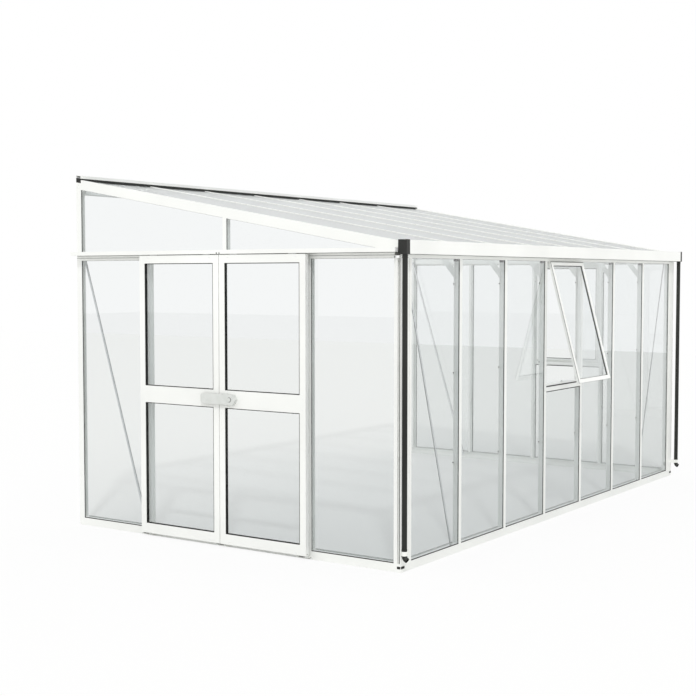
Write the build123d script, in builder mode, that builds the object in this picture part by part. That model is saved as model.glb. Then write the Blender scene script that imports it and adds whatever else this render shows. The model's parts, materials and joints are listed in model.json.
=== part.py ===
from build123d import *
import os
from math import atan2, cos, degrees, radians, sin, tan

# Lean-to greenhouse of white aluminium profiles, glazed on three sides and open at the back,
# where it stands against a house wall. X runs along the low front, from the gable with the
# sliding doors to the far gable. Y runs from the front to the wall and Z up. Millimetres.

# Overall sizes
house_length = 4522
house_depth = 2660
eave_height = 1966
roof_pitch = 10
bay_count = 7
corner_inset = 98
gable_bay_count = 4

# Glazing: glass behind a cap, on a seat, with a gasket gap between
cap_depth = 5
glass_thickness = 4
gasket_gap = 1
seat_depth = 4
glass_edge_gap = 1
glass_bite = 12
roof_panel_thickness = 10

# Glazing bars of the front, the gables and the roof
bar_depth = 50
bar_cap_width = 32
bar_neck_width = 8
bar_seat_width = 26
bar_web = 3
bar_foot_width = 20
bar_foot_depth = 5

# Sills
sill_height = 52
sill_depth = 50
sill_base_height = 22
sill_wall = 3

# Eave beam with the gutter in front of it
beam_height = 110
beam_depth = 50
beam_wall = 4
gutter_reach = 60
gutter_height = 81
gutter_top_drop = 6
gutter_wall = 3
gutter_lip = 10

# Corner posts
corner_front_width = 119
corner_body_width = 87
corner_groove = 10
corner_nose = 6
corner_recess = 18
corner_recess_depth = 12
corner_gable_cap = 25
corner_gable_bite = 8
corner_wall = 5

# Wall posts and their bolt holes
wall_post_width = 45
wall_post_neck = 36
wall_flange = 4
wall_bolt_radius = 4.5
wall_bolt_inset = 30
wall_lip_width = 34
wall_bolt_heights = (350, 1650)

# Gable rafters and roof bars
rafter_height = 80
rafter_width = 45
rafter_upstand_width = 20
rafter_upstand_drop = 12
roof_drop = 16
roof_overhang = 25
roof_clamp = 16

# Wall plate, flashing and seal
plate_height = 90
plate_depth = 45
plate_wall = 4
flashing_thickness = 3
flashing_rise = 20
flashing_fall = 5
flashing_leg = 15
seal_height = 19
seal_thickness = 10
end_cap_drop = 34

# Transoms and the sliding-door track
transom_height = 60
transom_depth = 40
track_reach = 66
track_height = 26
track_wall = 3
track_web = 24
track_slot = 18
track_end_gap = 3

# Sliding door leaves
door_standoff = 30
door_depth = 30
door_bottom = 30
running_gap = 5
door_overlap = 18
door_stile = 45
door_top_rail = 52
door_mid_rail = 112
door_mid_height = 966
door_bottom_rail = 66
door_groove_width = 16
door_groove_depth = 12
door_glass_inset = 12
door_bite = 8

# Door hangers and bottom guides
roller_radius = 8
roller_width = 33
seat_gap = 0.3
hanger_blade = 6
hanger_length = 60
hanger_inset = 110
guide_length = 80
guide_plate = 4
guide_fin = 4
guide_gap = 8
guide_shift = 20

# Latch on the right-hand leaf
latch_length = 287
latch_height = 66
latch_corner = 18
latch_thickness = 10
latch_standoff = 14
latch_reach_right = 150
lock_body_width = 76
lock_body_proud = 4
lock_barrel_radius = 13
lock_barrel_length = 4
lock_barrel_shift = 8

# Vents: one in the front, held open, and one in the far gable, closed
vent_bay_number = 4
far_vent_bay_number = 2
vent_sill_height = 958
vent_bar_height = 30
vent_bar_depth = 30
vent_bar_bite = 8
vent_angle = 15
vent_side_gap = 31
vent_hinge_radius = 4
vent_hinge_inset = 2
vent_foot_gap = 4
vent_frame_width = 22
vent_rebate = 4
vent_rebate_depth = 24
sash_rail = 28
sash_proud = 20
sash_inset = 2
sash_bite = 8
sash_glass_inset = 6
stay_width = 12
stay_thickness = 3

# Knee braces and diagonal wind braces
knee_width = 40
knee_thickness = 4
knee_start = 38
knee_foot_drop = 144
knee_angle = 50
knee_lap = 12
brace_width = 14
brace_thickness = 3
brace_top_rise = 29
brace_foot_rise = 5
front_brace_top_inset = 104
front_brace_foot_inset = 28
gable_brace_top_inset = 24
gable_brace_foot_inset = 62

# Downpipes and the outlet boxes at the gutter's ends
pipe_radius = 16
pipe_wall = 2
pipe_inset_x = 18
pipe_inset_y = 37
shoe_top = 110
outlet_depth = 36
outlet_wall = 3
outlet_top_drop = 4
shoe_radius = 26
shoe_turn = 60
shoe_spout = 8
clip_bottom = 111
clip_height = 26
clip_wall = 3
clip_arm_width = 16
clip_post_start = 6

# Places worked out from the sizes above
slope = tan(radians(roof_pitch))
swing = radians(vent_angle)
head_height = eave_height - beam_height
gutter_top = eave_height - gutter_top_drop
gutter_bottom = gutter_top - gutter_height
far_reach = pipe_inset_x + pipe_radius + seat_gap + clip_wall
latch_reach = latch_standoff + latch_thickness + lock_body_proud + lock_barrel_length
near_reach = door_standoff + door_depth + latch_reach
vent_top = head_height - vent_hinge_radius
vent_length = vent_top - vent_sill_height - vent_foot_gap
front_reach = vent_length * sin(swing) + sash_proud * cos(swing) - vent_hinge_inset
near_x = (near_reach - far_reach - house_length) / 2
far_x = near_x + house_length
front_y = (front_reach - house_depth) / 2
wall_y = front_y + house_depth
middle_x = (near_x + far_x) / 2
bay_pitch = (house_length - 2 * corner_inset) / bay_count
mullion_x = [near_x + corner_inset + bay_pitch * k for k in range(1, bay_count)]
gable_pitch = house_depth / gable_bay_count
gable_post_y = [front_y + gable_pitch * k for k in range(1, gable_bay_count)]
seat_start = cap_depth + glass_thickness + gasket_gap
seat_end = seat_start + seat_depth
beam_body_bottom = head_height + glass_bite + glass_edge_gap
transom_top = head_height + transom_height
mid_plane = Plane.YZ.offset(middle_x)


def roof_line(y, drop=0):
    """Height of the gable rafters' top edge at y, less a drop."""
    return eave_height + (y - front_y) * slope - drop


def filled(*corners):
    """Flat face with these corners, on the XY plane."""
    with BuildSketch() as face:
        with BuildLine():
            Polyline(*corners, close=True)
        make_face()
    return face.sketch


def glazing_bar_profile(neck_length):
    """Cap, neck, seat, web and foot of a glazing bar: x across, y inwards from the cap's face."""
    seat_middle = cap_depth + neck_length + seat_depth / 2
    web_length = bar_depth - cap_depth - neck_length - seat_depth - bar_foot_depth
    with BuildSketch() as bar:
        with Locations((0, cap_depth / 2)):
            Rectangle(bar_cap_width, cap_depth)
        fillet(bar.vertices().group_by(Axis.Y)[0], radius=cap_depth / 3)
        with Locations((0, cap_depth + neck_length / 2)):
            Rectangle(bar_neck_width, neck_length)
        with Locations((0, seat_middle)):
            Rectangle(bar_seat_width, seat_depth)
        with Locations((0, bar_depth - bar_foot_depth - web_length / 2)):
            Rectangle(bar_web, web_length)
        with Locations((0, bar_depth - bar_foot_depth / 2)):
            Rectangle(bar_foot_width, bar_foot_depth)
    return bar.sketch


def sill_profile():
    """Sill: outer lip, glass channel and seat on a hollow base. x inwards, y up."""
    base_inside = sill_base_height - 2 * sill_wall
    with BuildSketch() as sill:
        add(filled(
            (0, 0),
            (sill_depth, 0),
            (sill_depth, sill_base_height + glass_bite),
            (sill_depth - sill_wall, sill_base_height + glass_bite),
            (sill_depth - sill_wall, sill_base_height),
            (seat_end, sill_base_height),
            (seat_end, sill_height),
            (seat_start, sill_height),
            (seat_start, sill_base_height),
            (cap_depth, sill_base_height),
            (cap_depth, sill_height),
            (0, sill_height),
        ))
        with Locations((sill_depth / 2, sill_base_height / 2)):
            Rectangle(sill_depth - 2 * sill_wall, base_inside, mode=Mode.SUBTRACT)
    return sill.sketch


def transom_profile():
    """Transom: outer and inner plates with a glass channel above and below. x inwards, y up."""
    body_height = transom_height - 2 * (glass_bite + glass_edge_gap)
    with BuildSketch() as transom:
        with Locations((cap_depth / 2, transom_height / 2)):
            Rectangle(cap_depth, transom_height)
        with Locations((seat_start + seat_depth / 2, transom_height / 2)):
            Rectangle(seat_depth, transom_height)
        with Locations((transom_depth / 2, transom_height / 2)):
            Rectangle(transom_depth, body_height)
        hollow_depth = transom_depth - beam_wall - seat_end
        with Locations((seat_end + hollow_depth / 2, transom_height / 2)):
            Rectangle(hollow_depth, body_height - 2 * beam_wall, mode=Mode.SUBTRACT)
    return transom.sketch


def rafter_profile():
    """Gable rafter: upstand, ledge for the roof panel and glass channel. x inwards, y down."""
    panel_top = roof_drop + cap_depth
    panel_bottom = panel_top + roof_panel_thickness
    channel_top = rafter_height - glass_bite - gasket_gap - glass_edge_gap
    ledge = rafter_upstand_width + bar_neck_width / 2
    return filled(
        (0, rafter_upstand_drop),
        (rafter_upstand_width, rafter_upstand_drop),
        (rafter_upstand_width, roof_drop),
        (rafter_upstand_width + roof_clamp, roof_drop),
        (rafter_upstand_width + roof_clamp, panel_top),
        (ledge, panel_top),
        (ledge, panel_bottom),
        (rafter_width, panel_bottom),
        (rafter_width, channel_top),
        (seat_end, channel_top),
        (seat_end, rafter_height),
        (seat_start, rafter_height),
        (seat_start, channel_top),
        (cap_depth, channel_top),
        (cap_depth, rafter_height),
        (0, rafter_height),
    )


front_bar = glazing_bar_profile(glass_thickness + gasket_gap)
roof_bar = glazing_bar_profile(roof_panel_thickness)
near_bar = front_bar.rotate(Axis.Z, -90)
far_bar = front_bar.rotate(Axis.Z, 90)

# Plane for what runs along the near gable: x inwards, y up. Then the corner mitres and the roof
near_run = Plane(origin=(near_x, wall_y, 0), x_dir=(1, 0, 0), z_dir=(0, -1, 0))
near_mitre = Plane(origin=(near_x, front_y, 0), x_dir=(0, 0, 1), z_dir=(1, -1, 0))
far_mitre = Plane(origin=(far_x, front_y, 0), x_dir=(0, 0, 1), z_dir=(-1, -1, 0))
roof_direction = (0, cos(radians(roof_pitch)), sin(radians(roof_pitch)))
roof_normal = (0, -sin(radians(roof_pitch)), cos(radians(roof_pitch)))
rafter_underside = Plane(origin=(0, front_y, roof_line(front_y, rafter_height)), z_dir=roof_normal)


def across(x, y=0, z=0):
    """Upright plane across the house at x: x inwards from y, y up from z, extruded along X."""
    return Plane(origin=(x, y, z), x_dir=(0, 1, 0), z_dir=(1, 0, 0))


def roof_run(x, y):
    """Upright plane across the roof's slope: x along the house, y down from the rafter line."""
    return Plane(origin=(x, y, roof_line(y)), x_dir=(1, 0, 0), z_dir=(0, 1, 0))


def slope_length(run):
    """Length along the roof of a level run."""
    return run / cos(radians(roof_pitch))


# Sills, mitred at the front corners
with BuildPart() as front_sill:
    with BuildSketch(across(near_x, front_y)):
        add(sill_profile())
    extrude(amount=house_length)
    split(bisect_by=near_mitre, keep=Keep.TOP)
    split(bisect_by=far_mitre, keep=Keep.TOP)

with BuildPart() as near_gable_sill:
    with BuildSketch(near_run):
        add(sill_profile())
    extrude(amount=house_depth)
    split(bisect_by=near_mitre, keep=Keep.BOTTOM)

with BuildPart() as far_gable_sill:
    mirror(near_gable_sill.part, about=mid_plane)

# Corner post: a wide hollow front face, a recess and a glazing cap on the gable side
corner_gable_neck = corner_nose + corner_recess + corner_gable_cap - corner_gable_bite
corner_cap_end = corner_nose + corner_recess + corner_gable_cap
corner_front_neck = corner_body_width + corner_groove + bar_web
with BuildPart() as near_corner_post:
    with BuildSketch(Plane.XY.offset(sill_height)):
        with Locations((near_x, front_y)):
            add(filled(
                (0, 0),
                (corner_body_width, 0),
                (corner_body_width, cap_depth),
                (corner_body_width + corner_groove, cap_depth),
                (corner_body_width + corner_groove, 0),
                (corner_front_width, 0),
                (corner_front_width, cap_depth),
                (corner_front_neck, cap_depth),
                (corner_front_neck, seat_start),
                (corner_front_width, seat_start),
                (corner_front_width, seat_end),
                (corner_front_neck, seat_end),
                (corner_front_neck, bar_depth),
                (seat_end, bar_depth),
                (seat_start, bar_depth),
                (seat_start, corner_gable_neck),
                (cap_depth, corner_gable_neck),
                (cap_depth, corner_cap_end),
                (0, corner_cap_end),
                (0, corner_nose + corner_recess),
                (corner_recess_depth, corner_nose + corner_recess),
                (corner_recess_depth, corner_nose),
                (0, corner_nose),
            ))
        hollow_x = (corner_recess_depth + corner_wall, corner_front_neck - corner_wall)
        hollow_y = (cap_depth + corner_wall, bar_depth - corner_wall)
        with Locations((near_x + sum(hollow_x) / 2, front_y + sum(hollow_y) / 2)):
            Rectangle(hollow_x[1] - hollow_x[0], hollow_y[1] - hollow_y[0], mode=Mode.SUBTRACT)
    extrude(amount=head_height - sill_height)

with BuildPart() as far_corner_post:
    mirror(near_corner_post.part, about=mid_plane)

# Wall posts: a channel against the wall with a glazing cap, drilled for the wall bolts
with BuildPart() as near_wall_post:
    with BuildSketch(Plane.XY.offset(sill_height)):
        with Locations((near_x, wall_y)):
            add(filled(
                (0, 0),
                (0, -wall_post_width),
                (cap_depth, -wall_post_width),
                (cap_depth, -wall_post_neck),
                (seat_start, -wall_post_neck),
                (seat_start, -wall_post_width),
                (seat_end, -wall_post_width),
                (seat_end, -wall_flange),
                (bar_depth - wall_flange, -wall_flange),
                (bar_depth - wall_flange, -wall_lip_width),
                (bar_depth, -wall_lip_width),
                (bar_depth, 0),
            ))
    extrude(amount=eave_height + house_depth * slope)
    split(bisect_by=rafter_underside, keep=Keep.BOTTOM)
    with BuildSketch(Plane.XZ.offset(-wall_y)):
        with Locations(*[(near_x + wall_bolt_inset, z) for z in wall_bolt_heights]):
            Circle(wall_bolt_radius)
    extrude(amount=wall_flange, mode=Mode.SUBTRACT)

with BuildPart() as wall_posts:
    add(near_wall_post.part)
    mirror(near_wall_post.part, about=mid_plane)

# Front mullions
with BuildPart() as front_mullions:
    with BuildSketch(Plane.XY.offset(sill_height)):
        with Locations(*[(x, front_y) for x in mullion_x]):
            add(front_bar)
    extrude(amount=head_height - sill_height)

# Eave beam and gutter, one profile from end to end
bar_seat_drop = roof_drop + bar_depth
with BuildPart() as gutter_beam:
    with BuildSketch(across(near_x, front_y)):
        add(filled(
            (-gutter_reach, gutter_bottom),
            (-gutter_reach, gutter_top),
            (-gutter_reach + gutter_lip, gutter_top),
            (-gutter_reach + gutter_lip, gutter_top - gutter_wall),
            (-gutter_reach + gutter_wall, gutter_top - gutter_wall),
            (-gutter_reach + gutter_wall, gutter_bottom + gutter_wall),
            (-gutter_wall, gutter_bottom + gutter_wall),
            (-gutter_wall, roof_line(front_y - gutter_wall, bar_seat_drop)),
            (beam_depth, roof_line(front_y + beam_depth, bar_seat_drop)),
            (beam_depth, beam_body_bottom),
            (seat_end, beam_body_bottom),
            (seat_end, head_height),
            (seat_start, head_height),
            (seat_start, beam_body_bottom),
            (cap_depth, beam_body_bottom),
            (cap_depth, head_height),
            (0, head_height),
            (0, gutter_bottom),
        ))
        add(filled(
            (beam_wall, beam_body_bottom + beam_wall),
            (beam_depth - beam_wall, beam_body_bottom + beam_wall),
            (beam_depth - beam_wall, roof_line(front_y, bar_seat_drop + beam_wall)),
            (beam_wall, roof_line(front_y, bar_seat_drop + beam_wall)),
        ), mode=Mode.SUBTRACT)
    extrude(amount=house_length)

# Gable rafters, notched over the eave beam and, with the roof bars, over the gutter
rafter_start = front_y - roof_overhang
plate_drop = roof_drop + cap_depth + roof_panel_thickness


def below_roof(drop, run, centres, width):
    """Solid under the roof line from the roof's front edge, to notch what runs up the slope."""
    with BuildPart() as notch:
        with BuildSketch(roof_run(0, rafter_start)):
            with Locations(*[(x, drop + rafter_height / 2) for x in centres]):
                Rectangle(width, rafter_height)
        extrude(amount=slope_length(run), dir=roof_direction)
    return notch.part


# Outline of the black cap on a rafter's upper end, which fills a notch in the rafter
seal_front = wall_y - plate_depth
seal_base = roof_drop + cap_depth
seal_top = seal_base - seal_height
end_cap_outline = filled(
    (seal_front, roof_line(seal_front, end_cap_drop)),
    (seal_front, roof_line(seal_front, seal_top)),
    (wall_y, roof_line(wall_y, seal_top)),
    (wall_y, roof_line(wall_y, end_cap_drop)),
)

gutter_run = roof_overhang - gutter_wall
rafter_middle = near_x + rafter_width / 2
with BuildPart() as near_gable_rafter:
    with BuildSketch(roof_run(near_x, rafter_start)):
        add(rafter_profile())
    extrude(amount=slope_length(wall_y - rafter_start), dir=roof_direction)
    beam_run = roof_overhang + beam_depth
    add(below_roof(bar_seat_drop, beam_run, [rafter_middle], 2 * rafter_width), mode=Mode.SUBTRACT)
    add(below_roof(plate_drop, gutter_run, [rafter_middle], 2 * rafter_width), mode=Mode.SUBTRACT)
    with BuildSketch(across(near_x)):
        add(end_cap_outline)
    extrude(amount=rafter_upstand_width, mode=Mode.SUBTRACT)

with BuildPart() as far_gable_rafter:
    mirror(near_gable_rafter.part, about=mid_plane)

# Roof bars over the mullions, from the eave beam to the wall plate
roof_bar_run = house_depth + roof_overhang - plate_depth
with BuildPart() as roof_bars:
    with BuildSketch(roof_run(0, rafter_start)):
        with Locations(*[(x, roof_drop) for x in mullion_x]):
            add(roof_bar)
    extrude(amount=slope_length(roof_bar_run), dir=roof_direction)
    add(below_roof(plate_drop, gutter_run, mullion_x, bar_cap_width), mode=Mode.SUBTRACT)

# Roof panels between the bars
panel_edges = [near_x + rafter_upstand_width + bar_neck_width / 2]
for bar_x in mullion_x:
    panel_edges += [bar_x - bar_neck_width / 2, bar_x + bar_neck_width / 2]
panel_edges.append(far_x - rafter_upstand_width - bar_neck_width / 2)
with BuildPart() as roof_panels:
    with BuildSketch(roof_run(0, rafter_start)):
        for left, right in zip(panel_edges[::2], panel_edges[1::2]):
            panel_width = right - left - 2 * glass_edge_gap
            with Locations(((left + right) / 2, roof_drop + cap_depth + roof_panel_thickness / 2)):
                Rectangle(panel_width, roof_panel_thickness)
    extrude(amount=slope_length(house_depth + roof_overhang - seal_thickness), dir=roof_direction)

# Wall plate: a channel under the upper ends of the bars and panels, between the wall posts
plate_face = wall_y - plate_depth
plate_bottom = roof_line(wall_y, plate_drop + plate_height)
with BuildPart() as wall_plate:
    with BuildSketch(across(near_x + bar_depth)):
        add(filled(
            (wall_y, plate_bottom),
            (wall_y, roof_line(wall_y, plate_drop)),
            (plate_face, roof_line(plate_face, plate_drop)),
            (plate_face, plate_bottom + plate_wall),
            (plate_face + plate_wall, plate_bottom + plate_wall),
            (plate_face + plate_wall, roof_line(plate_face, plate_drop + plate_wall)),
            (wall_y - plate_wall, roof_line(wall_y, plate_drop + 2 * plate_wall)),
            (wall_y - plate_wall, plate_bottom),
        ))
    extrude(amount=house_length - 2 * bar_depth)

# Seal on the panels' upper edge and the flashing over it, both along the whole wall
clamp_middle = rafter_upstand_width + roof_clamp / 2
with BuildPart() as panel_seal:
    with BuildSketch(across(near_x + rafter_upstand_width)):
        add(filled(
            (seal_front, roof_line(seal_front, seal_base)),
            (seal_front, roof_line(seal_front, seal_top)),
            (wall_y, roof_line(wall_y, seal_top)),
            (wall_y, roof_line(wall_y, seal_base)),
        ))
    extrude(amount=house_length - 2 * rafter_upstand_width)
    with BuildSketch(roof_run(0, rafter_start)):
        clamp_drop = roof_drop + cap_depth / 2
        with Locations((near_x + clamp_middle, clamp_drop), (far_x - clamp_middle, clamp_drop)):
            Rectangle(roof_clamp, cap_depth)
    extrude(amount=slope_length(house_depth + roof_overhang), dir=roof_direction, mode=Mode.SUBTRACT)

# The black end caps on the rafters lie under the flashing and belong to the seal
flashing_bottom = roof_line(seal_front, seal_top)
flashing_top = flashing_bottom + flashing_rise
flashing_wall_top = flashing_top + flashing_fall
with BuildPart() as rafter_end_cap:
    with BuildSketch(across(near_x)):
        add(end_cap_outline)
    extrude(amount=rafter_upstand_width)

with BuildPart() as wall_seal:
    add(panel_seal.part)
    add(rafter_end_cap.part)
    mirror(rafter_end_cap.part, about=mid_plane)

with BuildPart() as wall_flashing:
    with BuildSketch(across(near_x)):
        add(filled(
            (seal_front, flashing_bottom),
            (seal_front, flashing_top),
            (wall_y, flashing_wall_top),
            (wall_y, flashing_wall_top - flashing_leg),
            (wall_y - flashing_thickness, flashing_wall_top - flashing_leg),
            (wall_y - flashing_thickness, flashing_wall_top - flashing_thickness),
            (seal_front + flashing_thickness, flashing_top - flashing_thickness),
            (seal_front + flashing_thickness, flashing_bottom + flashing_thickness * slope),
        ))
    extrude(amount=house_length)

# Transoms of both gables, from the eave beam to the wall post, cut under the rafter
with BuildPart() as near_transom:
    with BuildSketch(near_run.offset(wall_post_width)):
        with Locations((0, head_height)):
            add(transom_profile())
    extrude(amount=house_depth - wall_post_width - beam_depth)
    split(bisect_by=rafter_underside, keep=Keep.BOTTOM)

with BuildPart() as far_transom:
    mirror(near_transom.part, about=mid_plane)

# Gable bars: door jambs on the near side, three posts on the far side, one bar above each transom
bar_height = head_height - sill_height
with BuildPart() as door_jambs:
    with BuildSketch(Plane.XY.offset(sill_height)):
        with Locations((near_x, gable_post_y[0]), (near_x, gable_post_y[-1])):
            add(near_bar)
    extrude(amount=bar_height)

with BuildPart() as far_gable_posts:
    with BuildSketch(Plane.XY.offset(sill_height)):
        with Locations(*[(far_x, y) for y in gable_post_y]):
            add(far_bar)
    extrude(amount=bar_height)

gable_middle_y = front_y + house_depth / 2
with BuildPart() as gable_upper_bars:
    with BuildSketch(Plane.XY.offset(transom_top)):
        with Locations((near_x, gable_middle_y)):
            add(near_bar)
        with Locations((far_x, gable_middle_y)):
            add(far_bar)
    extrude(amount=rafter_height + house_depth * slope)
    split(bisect_by=rafter_underside, keep=Keep.BOTTOM)

# Door track: a channel with a slot underneath, along the whole near gable
track_bottom = transom_top - track_height
slot_middle = door_standoff + door_depth / 2
with BuildPart() as door_track:
    track_plane = Plane(
        origin=(near_x, front_y + track_end_gap, track_bottom), x_dir=(-1, 0, 0), z_dir=(0, 1, 0)
    )
    with BuildSketch(track_plane):
        add(filled(
            (0, 0),
            (slot_middle - track_slot / 2, 0),
            (slot_middle - track_slot / 2, track_wall),
            (track_web, track_wall),
            (track_web, track_height - track_wall),
            (track_reach - track_wall, track_height - track_wall),
            (track_reach - track_wall, track_wall),
            (slot_middle + track_slot / 2, track_wall),
            (slot_middle + track_slot / 2, 0),
            (track_reach, 0),
            (track_reach, track_height),
            (0, track_height),
        ))
        with Locations((track_web / 2, track_height / 2)):
            Rectangle(track_web - 2 * track_wall, track_height - 2 * track_wall, mode=Mode.SUBTRACT)
    extrude(amount=house_depth - track_end_gap)

# Glass panes stand in the sill and behind the caps
pane_bottom = sill_base_height + glass_edge_gap
pane_top = head_height + glass_bite
vent_pane_top = vent_sill_height - vent_bar_height + vent_bar_bite
bar_clear = bar_neck_width / 2 + glass_edge_gap
pane_inset = cap_depth + glass_thickness / 2


def spans(edges):
    """Middle and width between each pair of edges."""
    return [((start + end) / 2, end - start) for start, end in zip(edges[::2], edges[1::2])]


front_edges = [near_x + corner_front_neck + glass_edge_gap]
for bar_x in mullion_x:
    front_edges += [bar_x - bar_clear, bar_x + bar_clear]
front_edges.append(far_x - corner_front_neck - glass_edge_gap)

with BuildPart() as front_glass:
    for bay, (middle, width) in enumerate(spans(front_edges), start=1):
        with BuildSketch(Plane.XY.offset(pane_bottom)):
            with Locations((middle, front_y + pane_inset)):
                Rectangle(width, glass_thickness)
        extrude(amount=(vent_pane_top if bay == vent_bay_number else pane_top) - pane_bottom)

gable_corner_edge = front_y + corner_gable_neck + glass_edge_gap
gable_wall_edge = wall_y - wall_post_neck - glass_edge_gap
near_edges = [
    gable_corner_edge,
    gable_post_y[0] - bar_clear,
    gable_post_y[-1] + bar_clear,
    gable_wall_edge,
]
far_edges = [gable_corner_edge]
for post_y in gable_post_y:
    far_edges += [post_y - bar_clear, post_y + bar_clear]
far_edges.append(gable_wall_edge)

with BuildPart() as gable_side_glass:
    for middle, width in spans(near_edges):
        with BuildSketch(Plane.XY.offset(pane_bottom)):
            with Locations((near_x + pane_inset, middle)):
                Rectangle(glass_thickness, width)
        extrude(amount=pane_top - pane_bottom)
    for bay, (middle, width) in enumerate(spans(far_edges), start=1):
        with BuildSketch(Plane.XY.offset(pane_bottom)):
            with Locations((far_x - pane_inset, middle)):
                Rectangle(glass_thickness, width)
        extrude(amount=(vent_pane_top if bay == far_vent_bay_number else pane_top) - pane_bottom)

# Panes above the transoms, with sloping top edges in the rafter's channel
top_pane_bottom = transom_top - glass_bite
top_pane_drop = rafter_height - glass_bite
top_edges = [
    front_y + beam_depth + glass_edge_gap,
    gable_middle_y - bar_clear,
    gable_middle_y + bar_clear,
    gable_wall_edge,
]
with BuildPart() as near_top_glass:
    with BuildSketch(across(near_x + cap_depth)):
        for start, end in zip(top_edges[::2], top_edges[1::2]):
            add(filled(
                (start, top_pane_bottom),
                (end, top_pane_bottom),
                (end, roof_line(end, top_pane_drop)),
                (start, roof_line(start, top_pane_drop)),
            ))
    extrude(amount=glass_thickness)

with BuildPart() as gable_top_glass:
    add(near_top_glass.part)
    mirror(near_top_glass.part, about=mid_plane)

# Vents. Each has a plane on its wall: x along the wall, y up, z outwards
front_vent_x = near_x + corner_inset + bay_pitch * vent_bay_number - bay_pitch / 2
far_vent_y = front_y + gable_pitch * far_vent_bay_number - gable_pitch / 2
front_vent_plane = Plane(origin=(front_vent_x, front_y, 0), x_dir=(1, 0, 0), z_dir=(0, -1, 0))
far_vent_plane = Plane(origin=(far_x, far_vent_y, 0), x_dir=(0, 1, 0), z_dir=(1, 0, 0))


def on_wall(wall, x, y, z):
    """Point of the model at x, y, z of a wall's plane."""
    return wall.from_local_coords(Vector(x, y, z))


def vent_cross_bar(wall, pitch):
    """Bar under a vent, between two caps, with a glass channel underneath."""
    plane = Plane(
        origin=on_wall(wall, bar_cap_width / 2 - pitch / 2, vent_sill_height - vent_bar_height, 0),
        x_dir=-wall.z_dir,
        z_dir=wall.x_dir,
    )
    flip = 1 if plane.y_dir.Z > 0 else -1
    with BuildPart() as bar:
        with BuildSketch(plane):
            add(filled(*[(x, flip * y) for x, y in (
                (0, 0),
                (cap_depth, 0),
                (cap_depth, vent_bar_bite + glass_edge_gap),
                (seat_start, vent_bar_bite + glass_edge_gap),
                (seat_start, 0),
                (seat_end, 0),
                (seat_end, vent_bar_bite + glass_edge_gap),
                (vent_bar_depth, vent_bar_bite + glass_edge_gap),
                (vent_bar_depth, vent_bar_height),
                (0, vent_bar_height),
            )]))
        extrude(amount=pitch - bar_cap_width)
    return bar.part


def ring(width, bottom, top, rail):
    """Rectangular ring from bottom to top, centred across, with rails of one width."""
    with BuildSketch() as outline:
        with Locations((0, (bottom + top) / 2)):
            Rectangle(width, top - bottom)
            Rectangle(width - 2 * rail, top - bottom - 2 * rail, mode=Mode.SUBTRACT)
    return outline.sketch


def vent_frame(wall, pitch):
    """Fixed frame in the glass channel round a vent, with a rebate, and the hinge rod above it."""
    half = pitch / 2 - bar_clear
    inner_half = half - vent_frame_width
    bottom = vent_sill_height
    inner_bottom = bottom + vent_frame_width
    inner_top = head_height - vent_frame_width
    with BuildPart() as frame:
        with BuildSketch(wall.offset(-cap_depth)):
            with Locations((0, (bottom + pane_top) / 2)):
                Rectangle(2 * half, pane_top - bottom)
            with Locations((0, (inner_bottom + inner_top) / 2)):
                Rectangle(2 * inner_half, inner_top - inner_bottom, mode=Mode.SUBTRACT)
        extrude(amount=-glass_thickness)
        with BuildSketch(wall.offset(-cap_depth - glass_thickness)):
            rebate_width = 2 * (inner_half + vent_rebate)
            add(ring(rebate_width, inner_bottom - vent_rebate, inner_top + vent_rebate, vent_rebate))
        extrude(amount=cap_depth + glass_thickness - vent_rebate_depth)
        rod_plane = Plane(
            origin=on_wall(wall, vent_side_gap - pitch / 2, vent_top, -vent_hinge_inset),
            z_dir=wall.x_dir,
        )
        with BuildSketch(rod_plane):
            Circle(vent_hinge_radius)
        extrude(amount=pitch - 2 * vent_side_gap)
    return frame.part


def sash_plane(wall, angle):
    """Plane of a sash hung at the hinge rod: y up along the sash, z outwards."""
    hinge = on_wall(wall, 0, vent_top, -vent_hinge_inset)
    hung = Plane(origin=hinge, x_dir=wall.x_dir, z_dir=wall.z_dir)
    return hung.rotated((-angle, 0, 0))


def vent_sash(plane, pitch):
    """Sash frame with a groove for its pane."""
    width = pitch - 2 * vent_side_gap
    top = -vent_hinge_radius - seat_gap
    groove_start = sash_glass_inset
    with BuildPart() as sash:
        with BuildSketch(plane.offset(-sash_inset + vent_hinge_inset)):
            add(ring(width, -vent_length, top, sash_rail))
        extrude(amount=sash_proud + sash_inset - vent_hinge_inset)
        with BuildSketch(plane.offset(groove_start)):
            add(ring(
                width - 2 * (sash_rail - sash_bite),
                -vent_length + sash_rail - sash_bite,
                top - sash_rail + sash_bite,
                sash_bite,
            ))
        extrude(amount=glass_thickness + gasket_gap, mode=Mode.SUBTRACT)
    return sash.part


def vent_pane(plane, pitch):
    """Pane in a sash's groove, against its outer side."""
    inset = sash_rail - sash_bite + glass_edge_gap
    top = -vent_hinge_radius - seat_gap - inset
    bottom = -vent_length + inset
    with BuildPart() as pane:
        with BuildSketch(plane.offset(sash_glass_inset + gasket_gap)):
            with Locations((0, (top + bottom) / 2)):
                Rectangle(pitch - 2 * vent_side_gap - 2 * inset, top - bottom)
        extrude(amount=glass_thickness)
    return pane.part


front_sash_plane = sash_plane(front_vent_plane, vent_angle)
far_sash_plane = sash_plane(far_vent_plane, 0)

with BuildPart() as vent_cross_bars:
    add(vent_cross_bar(front_vent_plane, bay_pitch))
    add(vent_cross_bar(far_vent_plane, gable_pitch))

with BuildPart() as vent_frames:
    add(vent_frame(front_vent_plane, bay_pitch))
    add(vent_frame(far_vent_plane, gable_pitch))

with BuildPart() as front_vent_sash:
    add(vent_sash(front_sash_plane, bay_pitch))

with BuildPart() as far_vent_sash:
    add(vent_sash(far_sash_plane, gable_pitch))

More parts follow.
